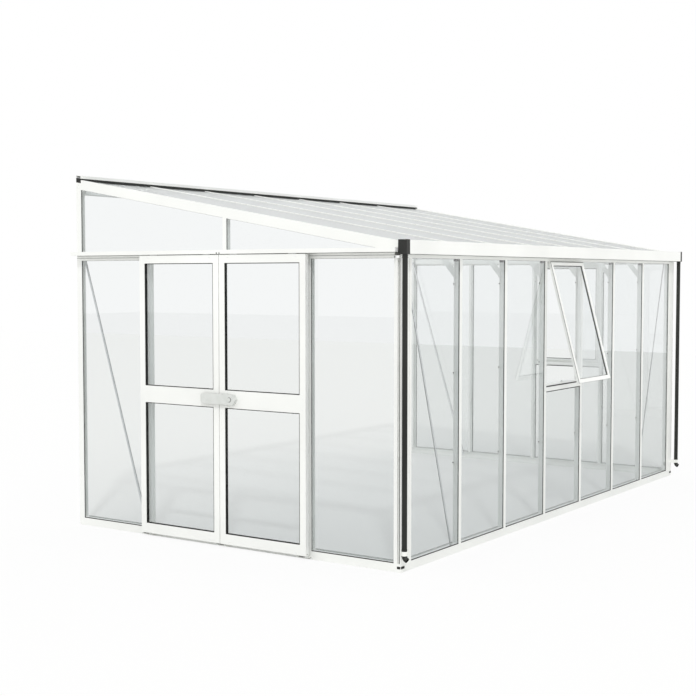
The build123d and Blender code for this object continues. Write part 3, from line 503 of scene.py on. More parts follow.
class GrowthTrees:
    """Geometry node trees for what repeats or follows a path."""

    def __init__(self) -> None:
        """Build the trees."""
        self.bead = self.build_bead()
        self.scatter = self.build_scatter()
        self.pile = self.build_pile()

    def start(self, name: str, inputs: dict[str, tuple[str, Any]]) -> tuple[Tree, Any]:
        """Make a tree with named inputs, a material among them.

        Args:
            name: The tree's name.
            inputs: Kind of socket and default by input name.

        Returns:
            The tree and what it is given, by input name.
        """
        tree = bpy.data.node_groups.new(name, "GeometryNodeTree")
        inputs = {"Geometry": ("Geometry", None), **inputs, "Material": ("Material", None)}
        for label, (kind, value) in inputs.items():
            socket = tree.interface.new_socket(
                name=label, in_out="INPUT", socket_type=f"NodeSocket{kind}")
            if value is not None:
                socket.default_value = value
        tree.interface.new_socket(name="Geometry", in_out="OUTPUT", socket_type="NodeSocketGeometry")
        return tree, add_node(tree, "NodeGroupInput").outputs

    def end(self, tree: Tree, given: Any, shape: Node) -> Tree:
        """Realize the shape, give it the material and close the tree.

        Args:
            tree: The tree.
            given: Its inputs by name.
            shape: The node that makes the shape.

        Returns:
            The finished tree.
        """
        real = add_node(tree, "GeometryNodeRealizeInstances", {"Geometry": shape})
        dressed = add_node(tree, "GeometryNodeSetMaterial", {
            "Geometry": real, "Material": given["Material"]})
        add_node(tree, "NodeGroupOutput", {0: dressed})
        return tree

    def facing(self, tree: Tree) -> Node:
        """Turn Z to the facing attribute of a point, and X to its along attribute.

        Args:
            tree: The tree that needs the turn.

        Returns:
            The rotation.
        """
        facing, along = [add_node(tree, "GeometryNodeInputNamedAttribute", {
            "data_type": "FLOAT_VECTOR", "Name": name}) for name in ("facing", "along")]
        out = add_node(tree, "FunctionNodeAlignRotationToVector", {"axis": "Z", "Vector": facing})
        return add_node(tree, "FunctionNodeAlignRotationToVector", {
            "axis": "X", "pivot_axis": "Z", "Rotation": out, "Vector": along})

    def placed(self, tree: Tree, points: Node | Socket, shape: Node | Socket, turn: Node) -> Node:
        """Put a shape on every point, facing its way and then turned.

        Args:
            tree: The tree.
            points: The points.
            shape: What stands on them.
            turn: The further turn of each.

        Returns:
            The placed shapes.
        """
        way = add_node(tree, "FunctionNodeRotateRotation", {
            "rotation_space": "LOCAL", "Rotation": self.facing(tree), "Rotate By": turn})
        return add_node(tree, "GeometryNodeInstanceOnPoints", {
            "Points": points, "Instance": shape, "Rotation": way})

    def build_bead(self) -> Tree:
        """Make a round bead along every edge of a wire mesh.

        Returns:
            The tree.
        """
        tree, given = self.start("bead_along_edges", {"Radius": ("Float", 2 * MM), "Sides": ("Int", 8)})
        path = add_node(tree, "GeometryNodeMeshToCurve", {"Mesh": given["Geometry"]})
        section = add_node(tree, "GeometryNodeCurvePrimitiveCircle", {
            "Resolution": given["Sides"], "Radius": given["Radius"]})
        return self.end(tree, given, add_node(tree, "GeometryNodeCurveToMesh", {
            "Fill Caps": True, "Curve": path, "Profile Curve": section}))

    def build_scatter(self) -> Tree:
        """Make a fitting on every point, with a random turn of its head.

        Returns:
            The tree.
        """
        tree, given = self.start("fittings_on_points", {
            "Fitting": ("Object", None), "Turn": ("Float", 0.0), "Seed": ("Int", 7)})
        fitting = add_node(tree, "GeometryNodeObjectInfo", {
            "Object": given["Fitting"]}).outputs["Geometry"]
        turn = add_node(tree, "FunctionNodeRandomValue", {
            "data_type": "FLOAT", 2: 0.0, 3: given["Turn"], "Seed": given["Seed"]}).outputs[1]
        spin = add_node(tree, "FunctionNodeAxisAngleToRotation", {"Axis": (0, 0, 1), "Angle": turn})
        return self.end(tree, given, self.placed(tree, given["Geometry"], fitting, spin))

    def build_pile(self) -> Tree:
        """Make bristles along every edge of a wire mesh, each leaning a little its own way.

        Returns:
            The tree.
        """
        tree, given = self.start("pile_along_edges", {
            "Spacing": ("Float", 4 * MM), "Length": ("Float", 10 * MM),
            "Thickness": ("Float", 0.8 * MM), "Lean": ("Float", 0.15), "Seed": ("Int", 11)})
        path = add_node(tree, "GeometryNodeMeshToCurve", {"Mesh": given["Geometry"]})
        points = add_node(tree, "GeometryNodeCurveToPoints", {
            "mode": "LENGTH", "Curve": path, "Length": given["Spacing"]})
        bristle = add_node(tree, "GeometryNodeMeshCone", {
            "Vertices": 5, "Side Segments": 1,
            "Radius Bottom": given["Thickness"], "Depth": given["Length"]})
        least = add_node(tree, "ShaderNodeMath", {"operation": "MULTIPLY", 1: -1.0, 0: given["Lean"]})
        # The second angle draws by a shifted number, so that the two don't agree
        number = add_node(tree, "GeometryNodeInputIndex")
        shifted = add_node(tree, "ShaderNodeMath", {"operation": "ADD", 1: 5000.0, 0: number})
        values = {"data_type": "FLOAT", 2: least, 3: given["Lean"], "Seed": given["Seed"]}
        angles = [add_node(tree, "FunctionNodeRandomValue", {**values, "ID": draw}).outputs[1]
                  for draw in (number, shifted)]
        lean = add_node(tree, "ShaderNodeCombineXYZ", {"X": angles[0], "Y": angles[1]})
        tilt = add_node(tree, "FunctionNodeEulerToRotation", {0: lean})
        return self.end(tree, given, self.placed(tree, points, bristle, tilt))


@dataclass(frozen=True)
class Wall:
    """A flat side of the house, or a leaf or sash, with its own across, up and outward directions."""

    origin: Vector
    across: Vector
    out: Vector
    up: Vector = Z_AXIS

    @classmethod
    def gable(cls, x: float, side: int, z: float = 0.0) -> "Wall":
        """Make a wall that runs from the front to the house.

        Args:
            x: Its place along the front.
            side: 1 where it faces the far end, and -1 where it faces the near end.
            z: Height that it counts from.

        Returns:
            The wall.
        """
        return cls(Vector((x, 0, z)), Y_AXIS, Vector((side, 0, 0)))

    def at(self, u: float, v: float, depth: float = 0.0) -> Vector:
        """Point at u across and v up, at a depth inwards from the face."""
        return self.origin + self.across * u + self.up * v - self.out * depth


@dataclass(frozen=True)
class Opening:
    """A rectangle between caps or rails: its spans across and up."""

    u: Pair
    v: Pair

    def shrunk(self, inset: float) -> "Opening":
        """The opening less an inset on every side."""
        return Opening((self.u[0] + inset, self.u[1] - inset), (self.v[0] + inset, self.v[1] - inset))

    def corners(self, wall: Wall, depth: float) -> list[Vector]:
        """Its four corners at a depth."""
        (a, b), (c, d) = self.u, self.v
        return [wall.at(u, v, depth) for u, v in ((a, c), (b, c), (b, d), (a, d))]


@dataclass(frozen=True)
class Spot:
    """Where a fitting sits, the way it faces and the way its length runs."""

    place: Vector
    facing: Vector
    along: Vector = Z_AXIS


@dataclass(frozen=True)
class Solid:
    """Corners and faces of a closed solid."""

    corners: list[Vector]
    faces: list[tuple[int, ...]]

    @classmethod
    def prism(cls, outline: list[Vector], run: Vector) -> "Solid":
        """Push a flat outline along a run.

        Args:
            outline: Corners of the outline, in order.
            run: How far and which way it is pushed.

        Returns:
            The prism.
        """
        count = len(outline)
        corners = outline + [corner + run for corner in outline]
        start, end = range(count), range(2 * count - 1, count - 1, -1)
        sides = [(k, (k + 1) % count, count + (k + 1) % count, count + k) for k in start]
        return cls(corners, [tuple(start), tuple(end), *sides])

    @classmethod
    def block(cls, wall: Wall, u: Pair, v: Pair, depth: Pair) -> "Solid":
        """A block on a wall, from its spans across, up and inwards."""
        return cls.prism(Opening(u, v).corners(wall, depth[0]), -wall.out * (depth[1] - depth[0]))

    @classmethod
    def band(cls, wall: Wall, opening: Opening, width: float, depth: Pair) -> "Solid":
        """Make a mitred band inside an opening's edge.

        Args:
            wall: The wall of the opening.
            opening: The band's outer edge.
            width: How far it reaches inside that edge.
            depth: Its span inwards from the wall's face.

        Returns:
            The band.
        """
        sections = ((0, depth[0]), (width, depth[0]), (width, depth[1]), (0, depth[1]))
        corners = [corner for inset, level in sections
                   for corner in opening.shrunk(inset).corners(wall, level)]
        faces = []
        for ring in range(4):
            after = (ring + 1) % 4
            faces += [(4 * ring + k, 4 * ring + (k + 1) % 4, 4 * after + (k + 1) % 4, 4 * after + k)
                      for k in range(4)]
        return cls(corners, faces)


@dataclass(frozen=True)
class House:
    """Places measured from the frame's nodes, and sizes of its profiles."""

    near_x: float
    far_x: float
    front_y: float
    wall_y: float
    sill_top: float
    head: float
    transom_top: float
    vent_bottom: float
    mullions: tuple[float, ...]
    posts: tuple[float, ...]
    slope: float
    panel_front: Pair
    corner_front: float
    cap_half: float = 16 * MM
    corner_gable: float = 49 * MM
    wall_post: float = 45 * MM
    rafter_height: float = 80 * MM
    panel_drop: float = 21 * MM
    bar_depth: float = 50 * MM
    sheet: float = 10 * MM
    end_clearance: float = 2 * MM
    mullion_count: int = 6
    post_count: int = 3

    @classmethod
    def measured(cls) -> "House":
        """Read the places from the boxes of the nodes.

        Returns:
            The house.
        """
        beam, sill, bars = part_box("gutter_beam"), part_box("front_sill"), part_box("front_mullions")
        panels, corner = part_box("roof_panels"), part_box("near_corner_post")
        first, last = bars[0].x + cls.cap_half, bars[1].x - cls.cap_half
        front_y, wall_y = sill[0].y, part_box("near_gable_sill")[1].y
        bay = (last - first) / (cls.mullion_count - 1)
        gable_bay = (wall_y - front_y) / (cls.post_count + 1)
        return cls(
            near_x=beam[0].x, far_x=beam[1].x, front_y=front_y, wall_y=wall_y,
            sill_top=sill[1].z, head=corner[1].z, transom_top=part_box("near_transom")[1].z,
            vent_bottom=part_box("vent_cross_bars")[0].z,
            mullions=tuple(first + bay * k for k in range(cls.mullion_count)),
            posts=tuple(front_y + gable_bay * (k + 1) for k in range(cls.post_count)),
            slope=(panels[1].z - panels[0].z - cls.sheet) / (panels[1].y - panels[0].y),
            panel_front=(panels[0].y, panels[0].z + cls.sheet),
            corner_front=corner[1].x - corner[0].x)

    def roof(self, y: float, drop: float = 0.0) -> float:
        """Height at y of a line that much below the rafters' line."""
        start, top = self.panel_front
        return top + self.panel_drop + (y - start) * self.slope - drop

    def mirrored(self, x: float) -> float:
        """The same place on the far half of the house."""
        return self.near_x + self.far_x - x

    @property
    def middle_y(self) -> float:
        """Middle of the gables."""
        return (self.front_y + self.wall_y) / 2

    @property
    def door_posts(self) -> Pair:
        """The gable's posts on both sides of the doors."""
        return self.posts[0], self.posts[2]

    @property
    def front(self) -> Wall:
        """The low front."""
        return Wall(Vector((0, self.front_y, 0)), X_AXIS, Vector((0, -1, 0)))

    @property
    def near(self) -> Wall:
        """The gable with the doors."""
        return Wall.gable(self.near_x, -1)

    @property
    def far(self) -> Wall:
        """The gable at the other end."""
        return Wall.gable(self.far_x, 1)


class Bench:
    """Makes plain meshes into finished pieces."""

    def __init__(self) -> None:
        """Build the finishes and the trees."""
        self.shelf = FinishShelf()
        self.trees = GrowthTrees()

    def draft(self, name: str, corners: Iterable[Vector], edges: Iterable[tuple[int, int]] = (),
              faces: Iterable[tuple[int, ...]] = ()) -> Shape:
        """Make an object at the origin, not yet a piece.

        Args:
            name: Its name.
            corners: Places of its corners.
            edges: Corner numbers of each edge.
            faces: Corner numbers of each face.

        Returns:
            The object.
        """
        mesh = bpy.data.meshes.new(name)
        mesh.from_pydata([tuple(corner) for corner in corners], list(edges), list(faces))
        shape = bpy.data.objects.new(name, mesh)
        bpy.context.scene.collection.objects.link(shape)
        return shape

    def hand_over(self, shape: Shape, slot: Slot, body: Body) -> None:
        """Turn the faces outwards, dress the piece and let it ride on its body.

        Args:
            shape: The object.
            slot: Material slot of the piece.
            body: Body that it rides on.
        """
        form = bmesh.new()
        form.from_mesh(shape.data)
        bmesh.ops.recalc_face_normals(form, faces=form.faces)
        form.to_mesh(shape.data)
        form.free()
        self.shelf.dress(shape, slot)
        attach(shape, body.value)
        LOG.info("%s: %d faces, rides on %s", shape.name, len(shape.data.polygons), body.value)

    def grow(self, shape: Shape, tree: Tree, values: dict[str, Any], slot: Slot, body: Body) -> None:
        """Run a tree on a wire or points and keep the result as a plain mesh.

        Args:
            shape: Object with the wire or the points.
            tree: The geometry node tree.
            values: Input values by input name.
            slot: Material slot of the result.
            body: Body that the piece rides on.
        """
        values = {**values, "Material": self.shelf.materials[slot]}
        modifier = shape.modifiers.new("growth", "NODES")
        modifier.node_group = tree
        for item in tree.interface.items_tree:
            if item.in_out == "INPUT" and item.name in values:
                modifier[item.identifier] = values[item.name]
        shown = shape.evaluated_get(bpy.context.evaluated_depsgraph_get())
        mesh = bpy.data.meshes.new_from_object(shown)
        shape.modifiers.remove(modifier)
        shape.data = mesh
        self.hand_over(shape, slot, body)

    def beads(self, name: str, lines: Iterable[list[Vector]], radius: float, slot: Slot = Slot.RUBBER,
              closed: bool = True) -> None:
        """Lay a round bead of the frame along each line of points.

        Args:
            name: The piece's name.
            lines: Points of each line.
            radius: The bead's radius.
            slot: Its material slot.
            closed: Whether the lines are loops, which get tight corners.
        """
        corners: list[Vector] = []
        edges: list[tuple[int, int]] = []
        for line in lines:
            loop = self.cornered(line, radius) if closed else line
            start = len(corners)
            corners += loop
            edges += [(start + k, start + k + 1) for k in range(len(loop) - 1)]
            if closed:
                edges.append((start + len(loop) - 1, start))
        wire = self.draft(name, corners, edges)
        self.grow(wire, self.trees.bead, {"Radius": radius}, slot, Body.FRAME)

    def cords(self, name: str, runs: Iterable[list[Vector]], radius: float,
              slot: Slot = Slot.RUBBER) -> None:
        """Lay a round bead of the frame along each open run of points."""
        self.beads(name, runs, radius, slot, closed=False)

    def cornered(self, loop: list[Vector], reach: float) -> list[Vector]:
        """Add a point on both sides of every corner, so that a bead keeps its width.

        Args:
            loop: Corners of a closed line.
            reach: How far from the corner the points lie.

        Returns:
            The longer loop.
        """
        around_it = []
        for before, corner, after in zip(loop[-1:] + loop, loop, loop[1:] + loop[:1]):
            around_it += [corner + (before - corner).normalized() * reach, corner,
                          corner + (after - corner).normalized() * reach]
        return around_it

    def aimed(self, name: str, spots: list[Spot], edges: Iterable[tuple[int, int]] = ()) -> Shape:
        """Make points, or a wire, that carry the directions of their fittings.

        Args:
            name: Name of the object.
            spots: Places and directions of the points.
            edges: Numbers of the spots that each edge joins.

        Returns:
            The object.
        """
        wire = self.draft(name, [spot.place for spot in spots], edges)
        for label in ("facing", "along"):
            layer = wire.data.attributes.new(label, "FLOAT_VECTOR", "POINT")
            layer.data.foreach_set("vector", [c for spot in spots for c in getattr(spot, label)])
        return wire

    def scatter(self, name: str, spots: list[Spot], fitting: Shape, slot: Slot,
                body: Body = Body.FRAME, turn: float = math.tau) -> None:
        """Put a fitting on every spot.

        Args:
            name: The piece's name.
            spots: Where the fittings sit.
            fitting: The template.
            slot: Material slot of the piece.
            body: Body that it rides on.
            turn: Angle up to which each is turned at random.
        """
        values = {"Fitting": fitting, "Turn": turn}
        self.grow(self.aimed(name, spots), self.trees.scatter, values, slot, body)

    def brush(self, name: str, rows: list[Spot], length: float, spacing: float, slot: Slot,
              body: Body) -> None:
        """Grow bristles along two rows, each from one spot to the next.

        Args:
            name: The piece's name.
            rows: Start and end of the first row, then of the second.
            length: Length of the bristles.
            spacing: Distance between them.
            slot: Material slot of the piece.
            body: Body that it rides on.
        """
        wire = self.aimed(name, rows, [(0, 1), (2, 3)])
        self.grow(wire, self.trees.pile, {"Length": length, "Spacing": spacing}, slot, body)

    def solids(self, name: str, parts: Iterable[Solid], slot: Slot = Slot.RUBBER,
               body: Body = Body.FRAME) -> None:
        """Make one piece of several closed solids.

        Args:
            name: The piece's name.
            parts: The solids.
            slot: Material slot of the piece.
            body: Body that it rides on.
        """
        corners: list[Vector] = []
        faces: list[tuple[int, ...]] = []
        for part in parts:
            start = len(corners)
            corners += part.corners
            faces += [tuple(start + k for k in face) for face in part.faces]
        self.hand_over(self.draft(name, corners, (), faces), slot, body)


@dataclass(frozen=True)
class Fittings:
    """Templates of the small fittings. A profile is radius and height in millimetres."""

    pan_head: Profile = (
        (0, 0), (4.2, 0), (4.2, 0.9), (3.6, 1.9), (2.3, 2.5), (1.7, 2.5), (1.5, 1.3), (0, 1.3))
    washer: Profile = ((0, 0), (8.5, 0), (8.5, 1.3), (8.1, 1.6), (0, 1.6))
    hex_head: Profile = ((0, 1.6), (6.6, 1.6), (6.6, 5.2), (5.8, 6.2), (0, 6.2))
    # Dark ring that paints the shade round the lock's barrel
    collar: Profile = ((13.05, 0), (15.2, 0), (15.2, 0.8), (14.4, 1.5), (13.05, 1.5), (13.05, 0))
    eye: Profile = ((0, 0), (4.2, 0), (4.2, 1.2), (0, 1.6))
    tab: Profile = ((-11, 0), (11, 0), (11, 10), (6, 14), (-6, 14), (-11, 10))
    tab_width: float = 10 * MM
    tab_bevel: float = 0.8 * MM

    def kept(self, name: str, form: bmesh.types.BMesh) -> Shape:
        """Keep a form as a template, which is never shown itself.

        Args:
            name: The template's name.
            form: The form, which is freed.

        Returns:
            The template.
        """
        mesh = bpy.data.meshes.new(name)
        form.to_mesh(mesh)
        form.free()
        return bpy.data.objects.new(name, mesh)

    def turned(self, name: str, profile: Profile, sides: int) -> Shape:
        """Turn a profile round Z.

        Args:
            name: The template's name.
            profile: Radius and height from the bottom outwards and up to the axis.
            sides: Facets of the turning: 6 makes a hexagon.

        Returns:
            The template.
        """
        form = bmesh.new()
        rings = []
        for radius, height in profile:
            points = circle((0, 0, height * MM), radius * MM, sides if radius else 1)
            rings.append([form.verts.new(point) for point in points])
        for low, high in zip(rings, rings[1:]):
            for k in range(sides):
                corners = [ring[n % len(ring)] for ring, n in (
                    (low, k), (low, (k + 1) % sides), (high, (k + 1) % sides), (high, k))]
                form.faces.new(list(dict.fromkeys(corners)))
        bmesh.ops.remove_doubles(form, verts=form.verts, dist=0.001 * MM)
        bmesh.ops.recalc_face_normals(form, faces=form.faces)
        return self.kept(name, form)

    def screw(self) -> Shape:
        """A pan-head screw with a socket."""
        return self.turned("screw_template", self.pan_head, 14)

    def bolt(self) -> Shape:
        """Set a hexagon head on a washer.

        Returns:
            The template.
        """
        form = bmesh.new()
        form.from_mesh(self.turned("washer_template", self.washer, sides=18).data)
        form.from_mesh(self.turned("head_template", self.hex_head, sides=6).data)
        return self.kept("bolt_template", form)

    def barrel_shade_ring(self) -> Shape:
        """A dark rubber ring round the lock's barrel, as painted shade."""
        return self.turned("collar_template", self.collar, 32)

    def dot(self) -> Shape:
        """A small dark rivet."""
        return self.turned("rivet_template", self.eye, 10)

    def clip(self) -> Shape:
        """Cut a spring clip: a tab with rounded edges.

        Returns:
            The template.
        """
        outline = [Vector((x * MM, -self.tab_width / 2, z * MM)) for x, z in self.tab]
        solid = Solid.prism(outline, Y_AXIS * self.tab_width)
        form = bmesh.new()
        verts = [form.verts.new(corner) for corner in solid.corners]
        for face in solid.faces:
            form.faces.new([verts[k] for k in face])
        bmesh.ops.recalc_face_normals(form, faces=form.faces)
        bmesh.ops.bevel(form, geom=form.edges[:], offset=self.tab_bevel, segments=1, affect="EDGES")
        return self.kept("clip_template", form)


@dataclass
class Trim:
    """Base of the sub-assemblies: the bench that makes their pieces and the house they sit on."""

    bench: Bench
    house: House

    def build(self) -> None:
        """Build every piece of the sub-assembly."""
        raise NotImplementedError


@dataclass
class Glazing(Trim):
    """Rubber and cords round the fixed panes, tapes and clips on the bars, and lips, cords and blocks
    that paint shade and shadow lines.
    """

    outer_radius: float = 1.1 * MM
    outer_depth: float = 4.2 * MM
    inner_radius: float = 1.6 * MM
    inner_depth: float = 10.4 * MM
    sill_radius: float = 3.0 * MM
    sill_rise: float = 2.4 * MM
    # Lip and cord that paint the shade of the sill's inside, seen through the glass
    lip_height: float = 8.5 * MM
    lip_depth: Pair = (45.5 * MM, 47.5 * MM)
    lip_gap: float = 1 * MM
    lip_cord_radius: float = 1 * MM
    gasket_radius: float = 2.2 * MM
    gasket_rise: float = 1 * MM
    rafter_width: float = 36 * MM
    plate_depth: float = 46 * MM
    # Dark cord in the corner posts' groove, which paints the shade there
    groove_side: float = 15.5 * MM
    groove_depth: float = 10.4 * MM
    groove_radius: float = 1.9 * MM
    groove_gap: float = 1 * MM
    gutter_foot: float = 23 * MM
    # Dark cords that paint the shadow lines under the gutter and the track, and the transom's seal
    head_cord_radius: float = 1.0 * MM
    transom_groove: float = 17 * MM
    transom_depth: float = -0.3 * MM
    tape_fold: float = 14 * MM
    tape_skin: float = 0.6 * MM
    tape_gap: float = 1 * MM
    tape_ends: Pair = (25 * MM, 5 * MM)  # from the roof's ends and from the middles of its bars
    clip_heights: tuple[float, ...] = (0.57, 1.14, 1.70)
    clip_side: float = 8 * MM
    clip_depth: float = 43.5 * MM
    clip_rivet: float = 13.7 * MM
    # Dark blocks that paint the shadow under the beam beside each mullion's head
    block_side: Pair = (50 * MM, 15 * MM)
    block_drop: Pair = (15 * MM, 1 * MM)
    block_depth: Pair = (16 * MM, 30 * MM)

    def bays(self, ends: Pair, bars: tuple[float, ...], vent: int | None) -> list[Opening]:
        """Find the openings of a wall.

        Args:
            ends: Inner edges of the wall's end posts.
            bars: Middles of the bars between them.
            vent: Number of the bay that is lower, because a vent is above it.

        Returns:
            An opening for each bay.
        """
        h = self.house
        return [Opening(span, (h.sill_top, h.vent_bottom if bay == vent else h.head))
                for bay, span in enumerate(free_spans(ends, bars, h.cap_half))]

    def top_loops(self, wall: Wall, depth: float) -> list[list[Vector]]:
        """Outline the panes above a transom, under the sloping rafter.

        Args:
            wall: The gable.
            depth: Depth of the outlines.

        Returns:
            Corners of each pane.
        """
        h = self.house
        edge = h.rafter_height
        start = h.front_y + (h.transom_top - h.roof(h.front_y, edge)) / h.slope
        spans = ((max(start, h.front_y + h.bar_depth), h.middle_y - h.cap_half),
                 (h.middle_y + h.cap_half, h.wall_y - h.wall_post))
        loops = []
        for a, b in spans:
            corners = [(a, h.transom_top), (b, h.transom_top), (b, h.roof(b, edge))]
            if h.roof(a, edge) > h.transom_top + MM:
                corners.append((a, h.roof(a, edge)))
            loops.append([wall.at(u, v, depth) for u, v in corners])
        return loops

    def build_rubber(self) -> None:
        """Lay the beads on both faces of the glass, the wedges at its foot, and the lips that paint the
        sill's shade.
        """
        h = self.house
        front = (h.near_x + h.corner_front, h.far_x - h.corner_front)
        gable = (h.front_y + h.corner_gable, h.wall_y - h.wall_post)
        beside_doors = self.bays(gable, h.door_posts, None)[::2]
        sides = (("front", h.front, self.bays(front, h.mullions, 3), False),
                 ("near_gable", h.near, beside_doors, True),
                 ("far_gable", h.far, self.bays(gable, h.posts, 1), True))
        faces = (("outer", self.outer_radius, self.outer_depth),
                 ("inner", self.inner_radius, self.inner_depth))
        for name, wall, openings, has_top in sides:
            for face, radius, depth in faces:
                loops = [opening.corners(wall, depth) for opening in openings]
                loops += self.top_loops(wall, depth) if has_top else []
                self.bench.beads(f"{name}_{face}_rubber", loops, radius)
            feet = [[wall.at(u, opening.v[0] + self.sill_rise, self.outer_depth) for u in opening.u]
                    for opening in openings]
            self.bench.cords(f"{name}_sill_wedges", feet, self.sill_radius)
            self.build_sill_lips(name, wall, openings)

    def build_sill_lips(self, name: str, wall: Wall, openings: list[Opening]) -> None:
        """Stand a pale grey lip with a dark cord on a sill's inner edge, as painted shade of its
        inside.

        Args:
            name: Name of the wall.
            wall: The wall.
            openings: Its openings.
        """
        foot = self.house.sill_top
        top = foot + self.lip_height
        spans = [(opening.u[0] + self.lip_gap, opening.u[1] - self.lip_gap) for opening in openings]
        lips = [Solid.block(wall, span, (foot, top), self.lip_depth) for span in spans]
        self.bench.solids(f"{name}_sill_lips", lips, Slot.LATCH)
        middle = sum(self.lip_depth) / 2
        cords = [[wall.at(u, top, middle) for u in span] for span in spans]
        self.bench.cords(f"{name}_sill_lip_cords", cords, self.lip_cord_radius)

    def build_roof_gaskets(self) -> None:
        """Lay a white gasket along both sides of every roof bar and beside the rafters."""
        h = self.house
        lines = [edge for x in h.mullions for edge in around(x, h.cap_half)]
        lines += [h.near_x + self.rafter_width, h.far_x - self.rafter_width]
        ends = (h.panel_front[0] + h.end_clearance, h.wall_y - self.plate_depth)
        drop = h.panel_drop - self.gasket_rise
        runs = [[Vector((x, y, h.roof(y, drop))) for y in ends] for x in lines]
        self.bench.cords("roof_bar_gaskets", runs, self.gasket_radius, Slot.CLIP)

    def build_groove_shade_cords(self) -> None:
        """Press a thin dark cord into the groove on the gable side of both corner posts, as painted
        shade in the groove.
        """
        h = self.house
        ends = (h.sill_top + self.groove_gap, h.head - self.groove_gap)
        runs = [[wall.at(h.front_y + self.groove_side, z, self.groove_depth) for z in ends]
                for wall in (h.near, h.far)]
        self.bench.cords("corner_groove_cords", runs, self.groove_radius)

    def build_head_cords(self) -> None:
        """Lay dark cords as painted shadow lines under the gutter and the track, and seal the groove of
        the transom.
        """
        h = self.house
        r = self.head_cord_radius
        z = h.head + self.gutter_foot - r
        ends = (h.near_x + h.end_clearance, h.far_x - h.end_clearance)
        self.bench.cords("gutter_seal_cord", [[h.front.at(x, z, -r) for x in ends]], r)
        low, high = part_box("door_track")
        ends = (max(low.y, h.front_y) + h.end_clearance, min(high.y, h.wall_y) - h.end_clearance)
        lines = ((low.z - r, -r), (h.head + self.transom_groove, self.transom_depth))
        runs = [[h.near.at(y, z, depth) for y in ends] for z, depth in lines]
        self.bench.cords("track_seal_cords", runs, r)

    def build_tapes(self) -> None:
        """Fold a thin aluminium tape over the front edge of each roof panel."""
        h = self.house
        y, top = h.panel_front
        at_end, at_bar = self.tape_ends
        fold, skin, foot = self.tape_fold, self.tape_skin, top - h.sheet
        rise = fold * h.slope
        outline = [(fold, top + rise), (fold, top + rise + skin), (-skin, top + skin),
                   (-skin, foot - skin), (fold, foot - skin + rise), (fold, foot + rise),
                   (0, foot), (0, top)]
        gap = self.tape_gap
        parts = []
        for a, b in free_spans((h.near_x + at_end, h.far_x - at_end), h.mullions, at_bar):
            section = [Vector((a + gap, y + dy, z)) for dy, z in outline]
            parts.append(Solid.prism(section, X_AXIS * (b - a - 2 * gap)))
        self.bench.solids("roof_edge_tapes", parts, Slot.BARE)

    def build_clips(self) -> None:
        """Fix spring clips to the inner left side of the bars, each with a dark rivet."""
        h = self.house
        fittings = Fittings()
        spots = [Spot(wall.at(bar - self.clip_side, z, self.clip_depth), -wall.across)
                 for wall, bars in ((h.front, h.mullions), (h.far, h.posts))
                 for bar in bars for z in self.clip_heights]
        self.bench.scatter("glass_clips", spots, fittings.clip(), Slot.CLIP, turn=0.0)
        eyes = [Spot(spot.place + spot.facing * self.clip_rivet, spot.facing) for spot in spots]
        self.bench.scatter("glass_clip_rivets", eyes, fittings.dot(), Slot.RUBBER)

    def build_shadow_blocks(self) -> None:
        """Set a dark rubber block beside the head of each mullion, as a painted shadow under the beam.
        """
        h = self.house
        height = tuple(h.head - drop for drop in self.block_drop)
        spans = [tuple(x - side for side in self.block_side) for x in h.mullions]
        parts = [Solid.block(h.front, span, height, self.block_depth) for span in spans]
        self.bench.solids("mullion_head_blocks", parts)

    def build(self) -> None:
        """Build all the glazing trim."""
        self.build_rubber()
        self.build_roof_gaskets()
        self.build_groove_shade_cords()
        self.build_head_cords()
        self.build_tapes()
        self.build_clips()
        self.build_shadow_blocks()


